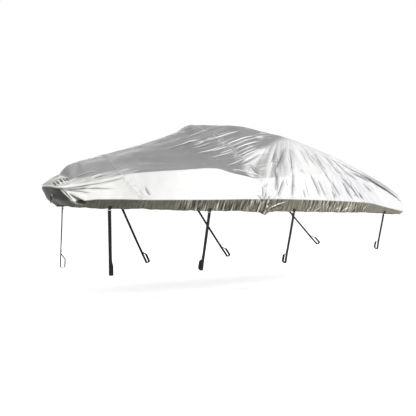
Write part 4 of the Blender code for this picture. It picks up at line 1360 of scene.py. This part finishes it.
    def _folded(
        self, points: np.ndarray, normals: np.ndarray, side: int
    ) -> tuple[np.ndarray, np.ndarray, dict[str, np.ndarray]]:
        """Returns the shift of the main folds, and the relief and creases that the finish reads."""
        total = Wander(5 if side > 0 else 8).shift(points)
        relief = np.zeros_like(total)
        creases = {f"crease{n}": np.full(total.shape, CREASE_REACH) for n in range(CREASE_LAYERS)}
        creases |= {f"depth{n}": np.zeros_like(total) for n in range(CREASE_LAYERS)}
        folds = self.folds[0] if side > 0 else self.folds[1]
        flat = points.reshape(-1, 3)
        low, high = flat.min(axis=0) - 0.1, flat.max(axis=0) + 0.1
        centre = level(np.abs(points[..., 1]) / 0.05)  # calm where the two halves meet
        dip = -self.bow_dip * np.exp(-(((points[..., 0] - self.dip_x) / self.dip_half_width) ** 2))
        dip = dip * level((points[..., 2] - 0.33) / 0.06)
        for number, fold in enumerate(folds):
            ends = fold.ends()
            if np.any(ends.max(axis=0) < low) or np.any(ends.min(axis=0) > high):
                continue
            reading = read_fold(fold, points, normals)
            total = total + reading.shift
            relief = relief + reading.shift / FOLD_RELIEF
            strength = CREASE_SHARE[fold.shape] * min(1.0, CREASE_LEAST + fold.height / CREASE_FULL)
            near = level((CREASE_REACH - np.abs(reading.across)) / (CREASE_REACH * 0.5))
            depth = strength * reading.share * near * centre
            layer = number % CREASE_LAYERS
            crease, deepest = creases[f"crease{layer}"], creases[f"depth{layer}"]
            nearer = np.abs(depth) > np.abs(deepest)
            crease[nearer], deepest[nearer] = reading.across[nearer], depth[nearer]
        return total * centre + dip, relief * centre, creases

    def _seams(
        self, points: np.ndarray, girth: np.ndarray, outer: np.ndarray
    ) -> tuple[np.ndarray, np.ndarray, np.ndarray]:
        """Returns the shares of sewn seam and of puckered cloth, and how far lap and puckers rise."""
        share, zone, rise = np.zeros(girth.shape), np.zeros(girth.shape), np.zeros(girth.shape)
        steps = np.linalg.norm(np.diff(points, axis=0), axis=-1)
        from_start = np.cumsum(np.concatenate([[np.zeros(girth.shape[1])], steps]), axis=0)
        phase = 0.4
        for end, distance in ((self.start, from_start), (self.end, from_start[-1] - from_start)):
            if end not in SEAMS:
                continue
            seam = SEAMS[end]
            wave = np.sin(girth / 0.0062 + phase + 1.9 * np.sin(girth * 9.0 + phase))
            swell = 0.6 + 0.4 * np.sin(girth * 13.0 + phase)
            rise += outer * seam.pucker * wave * swell * np.exp(-((distance / self.seam_reach) ** 2))
            rise += outer * self.lap_rise * (1 - level((distance - self.lap) / 0.003))
            share = np.maximum(share, np.exp(-((distance / self.seam_line) ** 2)))
            near = np.exp(-((distance / self.wrinkle_reach) ** 2))
            zone = np.maximum(zone, outer * seam.wrinkled * near)
        return share, zone, rise

    def build(self) -> bpy.types.Object:
        """Builds the panel as one sheet, welded along the centre line, and returns it."""
        halves = [self.half(side) for side in (1, -1)]
        points = np.stack([halves[0]["points"], halves[1]["points"] * [1.0, -1.0, 1.0]])
        points[..., 2] -= CROWN_HEIGHT
        centre = np.zeros(points.shape[:3], dtype=bool)
        centre[:, :, 0] = True
        for name, row in CENTRE_ROWS.items():
            centre[:, row] |= name in (self.start, self.end)
        points[centre, 1] = 0.0
        own = np.where(centre, -1, np.arange(centre.size).reshape(centre.shape))
        shared = np.where(centre[..., None], np.rint(points * SAME_PLACE), 0.0)
        keys = np.concatenate([shared, own[..., None]], axis=-1).astype(int).reshape(-1, 4)
        _, first, ids = np.unique(keys, axis=0, return_index=True, return_inverse=True)
        kept = np.sort(first)
        ids = np.searchsorted(kept, first)[ids.ravel()].reshape(centre.shape)
        reads = {name: np.stack([half[name] for half in halves]).ravel()[kept]
                 for name in halves[0] if name != "points"}
        return self._mesh(points.reshape(-1, 3)[kept], self._faces(ids), reads)

    @staticmethod
    def _faces(ids: np.ndarray) -> list[list[int]]:
        """Returns the faces of both halves, facing out, without those of no width."""
        faces: list[list[int]] = []
        for h in range(2):
            grid = ids[h]
            corners = np.stack([grid[:-1, :-1], grid[:-1, 1:], grid[1:, 1:], grid[1:, :-1]], axis=-1)
            quads = corners.reshape(-1, 4)
            quads = quads if h == 0 else quads[:, ::-1]
            for quad in quads.tolist():
                face = [v for j, v in enumerate(quad) if v != quad[j - 1]]
                if len(set(face)) == len(face) and len(face) > 2:
                    faces.append(face)
        return faces

    def _mesh(
        self, points: np.ndarray, faces: list[list[int]], reads: dict[str, np.ndarray]
    ) -> bpy.types.Object:
        mesh = bpy.data.meshes.new(self.name)
        mesh.from_pydata(points.tolist(), [], faces)
        mesh.polygons.foreach_set("use_smooth", [True] * len(mesh.polygons))
        store_cut(mesh, np.stack([reads.pop("u"), reads.pop("v")], axis=1))
        for name, values in reads.items():
            stored = mesh.attributes.new(name, "FLOAT", "POINT")
            stored.data.foreach_set("value", values.astype(np.float32))
        mesh.materials.append(self.finish)
        mesh.update()
        piece = place_piece(self.name + "_cloth", mesh, self.name)
        return piece


def put(name: str, data: bpy.types.ID) -> bpy.types.Object:
    """Puts a new object in the scene and returns it."""
    made = bpy.data.objects.new(name, data)
    bpy.context.scene.collection.objects.link(made)
    return made


def place_piece(name: str, mesh: bpy.types.Mesh, node: str) -> bpy.types.Object:
    """Puts a piece in the scene in place of its node.

    Args:
        name: The piece's name.
        mesh: Its mesh, in the model's own coordinates.
        node: The node that it stands for.

    Returns:
        The object.
    """
    piece = put(name, mesh)
    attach(piece, BODY)
    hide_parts(node)
    LOG.info("%s: %d faces", name, len(mesh.polygons))
    return piece


def store_cut(mesh: bpy.types.Mesh, cuts: Sequence[Sequence[float]]) -> None:
    """Stores where each point lies on the flat cloth, as the coordinates that the finishes read."""
    corner = np.zeros(len(mesh.loops), dtype=np.int32)
    mesh.loops.foreach_get("vertex_index", corner)
    mesh.uv_layers.new(name="cut").data.foreach_set("uv", np.array(cuts)[corner].ravel())


# ---- webbing, rings and cord
SHARP_ANGLE = math.radians(48)


@dataclass
class MeshMaker:
    """Gathers points, faces and flat coordinates, and makes one mesh of them."""

    points: list[Vector] = field(default_factory=list)
    faces: list[tuple[int, ...]] = field(default_factory=list)
    cuts: list[tuple[float, float]] = field(default_factory=list)
    slots: list[int] = field(default_factory=list)

    def grid(self, rows: Sequence[Sequence[Vector]], closed: bool = False, slot: int = 0) -> None:
        """Adds a tube of rings of points, with its ends filled if it is open.

        Args:
            rows: The rings, each with the same number of points.
            closed: Whether the last ring joins the first.
            slot: The material slot of its faces.
        """
        base, count = len(self.points), len(rows[0])
        run = 0.0
        for i, row in enumerate(rows):
            run += (row[0] - rows[i - 1][0]).length if i else 0.0
            around = 0.0
            for k, point in enumerate(row):
                around += (point - row[k - 1]).length if k else 0.0
                self.points.append(point)
                self.cuts.append((around, run))
        for i in range(len(rows) if closed else len(rows) - 1):
            first, second = base + i * count, base + (i + 1) % len(rows) * count
            for k in range(count):
                after = (k + 1) % count
                self.faces.append((first + k, first + after, second + after, second + k))
                self.slots.append(slot)
        if not closed:
            self.faces.append(tuple(base + k for k in reversed(range(count))))
            self.faces.append(tuple(base + (len(rows) - 1) * count + k for k in range(count)))
            self.slots += [slot, slot]

    def mesh(self, name: str, *finishes: bpy.types.Material) -> bpy.types.Mesh:
        """Returns the mesh, smooth but for its sharp edges."""
        made = bpy.data.meshes.new(name)
        made.from_pydata([tuple(p) for p in self.points], [], self.faces)
        for finish in finishes:
            made.materials.append(finish)
        made.polygons.foreach_set("material_index", self.slots)
        store_cut(made, self.cuts)
        shape = bmesh.new()
        shape.from_mesh(made)
        bmesh.ops.recalc_face_normals(shape, faces=shape.faces)
        shape.to_mesh(made)
        shape.free()
        made.shade_smooth()
        made.set_sharp_from_angle(angle=SHARP_ANGLE)
        made.update()
        return made

    def place(self, node: str, part: str, slot: str, *finishes: bpy.types.Material) -> bpy.types.Object:
        """Puts the mesh in the scene as a node's visible part, such as its wire."""
        return place_piece(f"{node}_{part}", self.mesh(node, *finishes), node)


def arc_points(
    centre: Vector, first: Vector, second: Vector, radius: float, start: float, stop: float, count: int
) -> list[Vector]:
    """Returns points on an arc round a centre, in the plane of two directions; angles in degrees."""
    angles = [math.radians(start + (stop - start) * k / count) for k in range(count + 1)]
    return [centre + first * radius * math.cos(a) + second * radius * math.sin(a) for a in angles]


def tube_rings(
    path: Sequence[Vector], radius: float, sides: int, closed: bool = False
) -> list[list[Vector]]:
    """Returns the rings of a round tube along a path, without twist."""
    rings: list[list[Vector]] = []
    across: Optional[Vector] = None
    for i, point in enumerate(path):
        before = path[i - 1] if i or closed else point
        after = path[(i + 1) % len(path)] if i + 1 < len(path) or closed else point
        line = (after - before).normalized()
        if across is None:
            across = line.orthogonal()
        across = (across - line * across.dot(line)).normalized()
        rings.append(arc_points(point, across, line.cross(across), radius, 0, 360 - 360 / sides, sides - 1))
    return rings


class StrapPlace(NamedTuple):
    """Where a strap leaves the hem and where its loop hangs, on the port side."""

    label: str
    hem_x: float
    loop_x: float
    loop_y: float
    loop_h: float


STRAP_PLACES = [StrapPlace(*row) for row in (
    ("1", -1.866, -1.88, -.58, -.668),
    ("2", -.814, -.665, -.58, -.688),
    ("3", .422, .64, -.58, -.676),
    ("4", 2.08, 2.33, -.58, -.58),
)]
# The upper half of webbing's rounded section, across its width and through it, as shares of their halves.
WEBBING_UPPER = ((-1, 0), (-.975, .7), (-.93, 1), (-.5, 1), (0, 1), (.5, 1), (.93, 1), (.975, .7))
WEBBING_SECTION = WEBBING_UPPER + tuple((-across, -lift) for across, lift in WEBBING_UPPER)


@dataclass
class TieDown:
    """A strap with the tab that is sewn to the hem and the ring between them."""

    surface: CoverSurface
    place: StrapPlace
    side: int
    webbing: bpy.types.Material
    thread: bpy.types.Material
    wire: bpy.types.Material
    width: float = 0.038
    thickness: float = 0.0018
    gap: float = 0.0003
    tab_width: float = 0.036
    tab_length: float = 0.042
    tab_front_step: float = 0.004
    tab_flat: float = 0.006
    bar_drop: float = 0.010
    fold_clear: float = 0.014
    ring_wire: float = 0.0021
    ring_width: float = 0.053
    ring_height: float = 0.0125
    ring_corner: float = 0.006
    loop_depth: float = 0.056
    loop_height: float = 0.150
    loop_bend: float = 0.012
    loop_slant: float = 0.060
    loop_step: float = 0.010
    tail: float = 0.060
    slack: float = 0.0018  # bow of the strap out of its straight line
    stitch: float = 0.0042
    stitch_half_width: float = 0.00035
    stitch_rise: float = 0.0005
    stitch_inset: float = 0.004  # of a sewn box from the webbing's edges
    stitch_lift: float = 0.0001

    def __post_init__(self) -> None:
        """Works out the directions at the strap: up the hem, out of it, along it and down the strap."""
        middle = self.surface.at_belt_x(self.place.hem_x)
        half = self.tab_width / 2 + self.tab_flat
        where = np.array([middle - half, middle + half])
        edges = self.surface.hem_edge(where)
        belt = self.surface.corner(where, "belt")
        uppers = self.surface.toward(belt, edges, self.surface.belt_round)
        hem, upper = Vector(edges.mean(axis=0)), Vector(uppers.mean(axis=0))
        self.up = self._mirrored(upper - hem).normalized()
        self.along = self._mirrored(Vector(edges[1] - edges[0])).normalized()
        self.out = (self.along.cross(self.up) * self.side).normalized()
        lower = Vector((0.0, 0.0, CROWN_HEIGHT))
        clear = self.gap * 3 + self.thickness
        self.bar = self._mirrored(hem) - lower + self.out * (clear + self.ring_wire + self.gap)
        self.bar -= self.up * self.bar_drop
        self.loop = self._mirrored(Vector((self.place.loop_x, self.place.loop_y, self.place.loop_h))) - lower
        self.down = (self.loop - self.bar).normalized()
        self.hang = (self.down - self.along * self.down.dot(self.along)).normalized()
        self.front = self.along.cross(self.hang).normalized()
        if self.front.dot(self.out) < 0:
            self.front = -self.front
        side_name = "port" if self.side > 0 else "starboard"
        self.label = f"{side_name}_{self.place.label}"

    def _mirrored(self, point: Vector) -> Vector:
        """Moves a point of the port half to this side."""
        return Vector((point.x, point.y * self.side, point.z))

    def _band(self, maker: MeshMaker, path: Sequence[Vector], width: float) -> float:
        """Adds flat webbing along a path, with rounded edges, and returns its length."""
        rows = []
        for i, point in enumerate(path):
            line = (path[min(i + 1, len(path) - 1)] - path[max(i - 1, 0)]).normalized()
            face = self.along.cross(line).normalized()
            half, thin = width / 2, self.thickness / 2
            rows.append([point + self.along * half * across + face * thin * lift
                         for across, lift in WEBBING_SECTION])
        maker.grid(rows)
        return sum((b - a).length for a, b in zip(path, path[1:]))

    def _stitched_box(
        self, maker: MeshMaker, corner: Vector, wide: Vector, tall: Vector, out: Vector
    ) -> None:
        """Adds the thread of a sewn box with its two diagonals."""
        a, b, c, d = corner, corner + wide, corner + wide + tall, corner + tall
        for first, last in ((a, b), (b, c), (c, d), (d, a), (a, c), (b, d)):
            way = last - first
            count = max(2, int(way.length / self.stitch))
            line = way.normalized()
            beside = line.cross(out).normalized() * self.stitch_half_width
            rise = out * self.stitch_rise
            for k in range(count):
                start = first + way * (k + 0.15) / count
                stop = first + way * (k + 0.85) / count
                low, high = (start.lerp(stop, share) for share in (0.3, 0.7))
                rows = [[p - beside, p + beside, p + beside * 0.6 + rise * up, p - beside * 0.6 + rise * up]
                        for p, up in ((start, 0.2), (low, 1.0), (high, 1.0), (stop, 0.2))]
                maker.grid(rows, slot=1)

    def build_tab(self) -> bpy.types.Object:
        """Builds the sewn tab that is folded round the ring's upper bar."""
        radius = self.ring_wire + self.gap + self.thickness / 2
        back = self.bar - self.out * radius
        front = back + self.out * (self.thickness + self.gap)
        path = [back + self.up * self.tab_length * k / 8 for k in range(8, 0, -1)]
        path += arc_points(self.bar, -self.out, -self.up, radius, 0, 180, 14)
        top = self.tab_length - self.tab_front_step
        path += [front + self.up * (self.fold_clear + (top - self.fold_clear) * k / 6) for k in range(7)]
        maker = MeshMaker()
        length = self._band(maker, path, self.tab_width)
        lift = self.out * (self.thickness / 2 + self.stitch_lift)
        corner = front + self.up * (self.fold_clear + 0.003) + lift
        corner -= self.along * (self.tab_width / 2 - self.stitch_inset)
        wide = self.along * (self.tab_width - 2 * self.stitch_inset)
        self._stitched_box(maker, corner, wide, self.up * (top - self.fold_clear - 0.006), self.out)
        node = f"tab_{self.label}"
        piece = maker.place(node, "webbing", "black_webbing", self.webbing, self.thread)
        return piece

    def build_ring(self) -> bpy.types.Object:
        """Builds the wire ring that joins the tab and the strap."""
        middle = self.bar + self.hang * self.ring_height / 2
        half_width, half_height = self.ring_width / 2, self.ring_height / 2
        path: list[Vector] = []
        for wide_sign, down_sign, start in ((1, -1, -90), (1, 1, 0), (-1, 1, 90), (-1, -1, 180)):
            corner = middle + self.along * wide_sign * (half_width - self.ring_corner)
            corner += self.hang * down_sign * (half_height - self.ring_corner)
            path += arc_points(corner, self.along, self.hang, self.ring_corner, start, start + 90, 8)
        maker = MeshMaker()
        maker.grid(tube_rings(path, self.ring_wire, 14, closed=True), closed=True)
        return maker.place(f"ring_{self.label}", "wire", "plated_steel", self.wire)

    def build_strap(self) -> bpy.types.Object:
        """Builds the strap: folded round the ring at the top, sewn back into a loop at the bottom."""
        radius = self.ring_wire + self.gap + self.thickness / 2
        lower_bar = self.bar + self.hang * self.ring_height
        fold = self.front * (self.thickness + self.gap)
        depth = self.front * (self.loop_depth - 2 * self.loop_bend)
        face = lower_bar + self.front * radius
        run = ((self.loop - self.bar).length - self.ring_height) * self.down
        closing, tail = self.down * self.loop_height, self.down * self.tail
        path = [face - fold + tail - (tail - self.down * self.fold_clear) * k / 8 for k in range(9)]
        path += arc_points(lower_bar, -self.front, -self.hang, radius, 0, 180, 14)
        start, stop = face + self.down * self.fold_clear, face + run - closing
        path += [start.lerp(stop, k / 40) + self._slack(k / 40) for k in range(41)]
        corner = face + run - (self.front + self.hang) * self.loop_bend
        path += [stop.lerp(corner + self.front * self.loop_bend, k / 8) for k in range(1, 8)]
        path += arc_points(corner, self.front, self.hang, self.loop_bend, 0, 90, 8)
        path += arc_points(corner - depth, self.hang, -self.front, self.loop_bend, 0, 90, 8)
        path += [path[-1] - self.down * (self.loop_height - self.loop_slant) * k / 6 for k in range(1, 7)]
        end = face - fold + run - closing
        slant = path[-1]
        step = self.down * self.loop_step
        path += [slant.lerp(end - step, k / 5) for k in range(1, 6)]
        path += [end - step - (tail - step) * k / 5 for k in range(1, 6)]
        maker = MeshMaker()
        length = self._band(maker, path, self.width)
        inset = self.along * (self.width / 2 - self.stitch_inset)
        lift = self.front * (self.thickness / 2 + self.stitch_lift)
        for top, tall in ((face + self.down * (self.fold_clear + 0.004), 0.034), (stop - tail * 0.75, 0.030)):
            self._stitched_box(maker, top - inset + lift, inset * 2, self.down * tall, self.front)
        node = f"strap_{self.label}"
        piece = maker.place(node, "webbing", "black_webbing", self.webbing, self.thread)
        return piece

    def _slack(self, share: float) -> Vector:
        """Returns the strap's slight bow out of its straight line."""
        return self.front * self.slack * math.sin(math.pi * share) * math.sin(2.3 * share + self.place.hem_x)

    def build(self) -> None:
        """Builds the ring, the tab and the strap."""
        self.build_ring()
        self.build_tab()
        self.build_strap()


# Half of the lock's outline up its height: shares of the half height, and of the full section there.
LOCK_HALF = ((-1, .72), (-.97, .86), (-.90, .96), (-.80, 1), (-.45, 1), (-.42, .95), (-.30, .95), (-.27, 1),
             (-.06, 1), (-.03, .95))
LOCK_OUTLINE = LOCK_HALF + tuple((-share, width) for share, width in reversed(LOCK_HALF))


@dataclass
class BowTie:
    """The drawcord where it leaves the bow: its eyelet, its visible stretch and its lock."""

    cord_finish: bpy.types.Material
    metal: bpy.types.Material
    plastic: bpy.types.Material
    place: Vector = field(default_factory=lambda: Vector((-2.303329, -0.052532, -0.845349)))
    out: Vector = field(default_factory=lambda: Vector((-0.898597, -0.080226, -0.431377)))
    eyelet_radius: float = 0.0105
    eyelet_rim: float = 0.0022
    gap: float = 0.0003
    cord_radius: float = 0.0025
    strand_start: float = 0.0006
    standoff: float = 0.017
    spread: float = 0.014
    lock_size: tuple[float, float, float] = (0.018, 0.030, 0.034)
    lock_drop: float = 0.041
    cord_loop: float = 0.032
    cord_turn: float = 0.0105
    lock_square: float = 0.55  # power that squares the lock's round section
    mouth_rim: float = 0.0008
    mouth_gap: float = 0.0012

    def __post_init__(self) -> None:
        """Works out the direction level with the cloth."""
        self.level = Vector((0.0, 0.0, 1.0)).cross(self.out).normalized()
        if self.level.y < 0:
            self.level = -self.level

    def at(self, ahead: float, across: float, up: float) -> Vector:
        """Returns a point in front of the eyelet, square to the cover."""
        return self.place + Vector((-ahead, across, up))

    def near(self, out: float, across: float) -> Vector:
        """Returns a point straight out of the cloth, in the eyelet."""
        return self.place + self.out * out + self.level * across

    def route(self) -> list[Vector]:
        """Returns the cord's line: out of the eyelet, through the lock, round and back."""
        half = self.spread / 2
        top = -self.lock_drop + self.lock_size[2] / 2
        bottom = -self.lock_drop - self.lock_size[2] / 2
        middle = bottom - self.cord_loop + self.cord_turn
        half_turn = self.cord_turn * math.sqrt(0.5)
        strand = [
            (self.standoff * 0.85, half * 0.6, -self.standoff * 0.25),
            (self.standoff, half, top + self.cord_radius),
            (self.standoff, half, bottom),
            (self.standoff, self.cord_turn, middle),
            (self.standoff, half_turn, middle - half_turn),
        ]
        beside = self.cord_radius + self.gap
        start = [self.strand_start, self.strand_start + self.cord_radius * 2.5]
        points = [self.near(out, beside) for out in start]
        points += [self.at(ahead, across, up) for ahead, across, up in strand]
        points.append(self.at(self.standoff, 0.0, bottom - self.cord_loop))
        points += [self.at(ahead, -across, up) for ahead, across, up in reversed(strand)]
        points += [self.near(out, -beside) for out in reversed(start)]
        return self._smooth(points, 6)

    @staticmethod
    def _smooth(route: Sequence[Vector], per_leg: int) -> list[Vector]:
        """Returns points on a smooth curve through every point of a route."""
        points = []
        for k in range(len(route) - 1):
            first, last = route[k], route[k + 1]
            before, after = route[max(k - 1, 0)], route[min(k + 2, len(route) - 1)]
            start, end = (last - before) / 2, (after - first) / 2
            for step in range(per_leg):
                t = step / per_leg
                rise = t * t * (3 - 2 * t)
                points.append(first.lerp(last, rise) + start * t * (1 - t) ** 2 + end * t * t * (t - 1))
        return points + [route[-1]]

    def build_cord(self, lock: bpy.types.Object) -> bpy.types.Object:
        path = self.route()
        maker = MeshMaker()
        maker.grid(tube_rings(path, self.cord_radius, 12))
        piece = maker.place("drawcord", "braid", "black_cord", self.cord_finish)
        return piece

    def build_eyelet(self) -> bpy.types.Object:
        """Builds the eyelet: a rolled rim that runs down into a short barrel."""
        centre = self.place + self.out * (self.eyelet_rim + 2 * self.gap)
        upright = self.out.cross(self.level).normalized()
        maker = MeshMaker()
        rows = []
        for k in range(40):
            angle = 2 * math.pi * k / 40
            spoke = self.level * math.cos(angle) + upright * math.sin(angle)
            middle = centre + spoke * self.eyelet_radius
            rows.append(arc_points(middle, spoke, self.out, self.eyelet_rim, 0, 330, 11))
        maker.grid(rows, closed=True)
        return maker.place("eyelet", "rim", "plated_steel", self.metal)

    def build_lock(self) -> bpy.types.Object:
        """Builds the moulded lock: a rounded body with grip ribs and the mouths of its two bores."""
        centre = self.at(self.standoff, 0.0, -self.lock_drop)
        depth, width, height = self.lock_size
        maker = MeshMaker()
        rows = []
        for share, shrink in LOCK_OUTLINE:
            ring = []
            for k in range(32):
                angle = math.tau * k / 32
                across, ahead = (math.copysign(abs(turn) ** self.lock_square, turn) * size / 2 * shrink
                                 for turn, size in ((math.cos(angle), width), (math.sin(angle), depth)))
                ring.append(centre + Vector((ahead, across, share * height / 2)))
            rows.append(ring)
        maker.grid(rows)
        for end in (-1, 1):
            for side in (-1, 1):
                middle = centre + Vector((0.0, side * self.spread / 2, end * height / 2))
                radius = self.cord_radius + self.mouth_gap
                mouth = arc_points(middle, Vector((1, 0, 0)), Vector((0, 1, 0)), radius, 0, 345, 23)
                maker.grid(tube_rings(mouth, self.mouth_rim, 8, closed=True), closed=True)
        return maker.place("cord_lock", "body", "black_plastic", self.plastic)

    def build(self) -> None:
        """Builds the eyelet, the lock and the cord."""
        self.build_eyelet()
        self.build_cord(self.build_lock())


# ---- studio
class SoftBox(NamedTuple):
    """A square studio light: where it stands, what it faces, its side and its power."""

    name: str
    place: tuple[float, float, float]
    aim: tuple[float, float, float]
    side: float
    power: float
    colour: Colour


@dataclass
class Studio:
    """A pale floor, an even pale surround, soft lights and the camera."""

    floor_height: float = -2.095
    floor_size: float = 60.0
    surround: float = 1.0
    camera_place: tuple[float, float, float] = (-6.595, -8.576, -0.705)
    camera_turn: float = -37.0
    camera_pitch: float = -1.7317
    lens: float = 74.42
    lights: tuple[SoftBox, ...] = (
        SoftBox("key", (2.2, -7.8, 3.2), (0.0, -0.4, -0.7), 1.8, 640.0, (1.0, 0.99, 0.97)),
        SoftBox("back", (2.0, 8.0, 3.5), (0.0, 0.0, -0.6), 4.0, 160.0, (1.0, 1.0, 1.0)),
    )

    def build_floor(self) -> bpy.types.Object:
        """Builds the floor."""
        half = self.floor_size / 2
        mesh = bpy.data.meshes.new("floor")
        corners = [(-half, -half), (half, -half), (half, half), (-half, half)]
        mesh.from_pydata([(x, y, self.floor_height) for x, y in corners], [], [(0, 1, 2, 3)])
        mesh.materials.append(StudioPaper().build())
        floor = put("floor", mesh)
        return floor

    def build_lights(self) -> None:
        """Builds the even surround and the soft lights."""
        world = bpy.data.worlds.new("surround")
        world.use_nodes = True
        background = world.node_tree.nodes["Background"]
        background.inputs["Color"].default_value = (1.0, 1.0, 1.0, 1.0)
        background.inputs["Strength"].default_value = self.surround
        bpy.context.scene.world = world
        for box in self.lights:
            light = bpy.data.lights.new(box.name, "AREA")
            light.shape = "SQUARE"
            light.size = box.side
            light.energy = box.power
            light.color = box.colour
            lamp = put(box.name, light)
            lamp.location = box.place
            way = Vector(box.aim) - Vector(box.place)
            lamp.rotation_euler = way.to_track_quat("-Z", "Y").to_euler()

    def build_camera(self) -> bpy.types.Object:
        """Builds the camera at the viewing angle."""
        camera = bpy.data.cameras.new("camera")
        camera.lens = self.lens
        camera.sensor_width = 36.0
        camera.clip_end = 200.0
        view = put("camera", camera)
        view.location = self.camera_place
        view.rotation_euler = (math.radians(90.0 + self.camera_pitch), 0.0, math.radians(self.camera_turn))
        bpy.context.scene.camera = view
        return view

    def build(self) -> None:
        """Builds the whole studio."""
        self.build_camera()
        self.build_floor()
        self.build_lights()
        bpy.context.scene.view_settings.view_transform = "Standard"


# ---- everything
def build_cover(surface: CoverSurface) -> None:
    """Builds the four panels, the straps and the bow's fittings."""
    cloth = CoatedCloth().build()
    webbing, wire = BlackWebbing().build(), PlatedWire().build()
    thread = BraidedCord(name="black_thread").build()
    port = with_fine_creases(TOP_FOLDS, 3, 0.035)
    port += with_fine_creases(FAN_FOLDS + STERN_FOLDS, 7, 0.06)
    port += CREST_FOLDS
    port += with_fine_creases(BOW_FOLDS, 5, 0.03)
    starboard = with_fine_creases(STARBOARD_FOLDS + STERN_FOLDS, 13, 0.05) + CREST_FOLDS
    tabs = tuple(surface.at_belt_x(place.hem_x) for place in STRAP_PLACES)
    for name, start, end, flat, area in (
        ("panel_bow", "bow centre", "seam 1", (1.95, 0.95), 1.35),
        ("panel_fore", "seam 1", "seam 2", (3.10, 1.75), 4.60),
        ("panel_mid", "seam 2", "seam 3", (3.50, 2.05), 6.60),
        ("panel_stern", "seam 3", "stern centre", (2.75, 1.35), 3.30),
    ):
        Panel(name, start, end, flat, area, surface, cloth, (port, starboard), tabs).build()
    for side in (1, -1):
        for place in STRAP_PLACES:
            TieDown(surface, place, side, webbing, thread, wire).build()
    BowTie(BraidedCord().build(), wire, MouldedPlastic().build()).build()


def main() -> None:
    """Builds the studio and the cover."""
    logging.basicConfig(level=logging.INFO, format="%(name)s %(message)s")
    Studio().build()
    build_cover(CoverSurface())


if __name__ == "__main__":
    main()
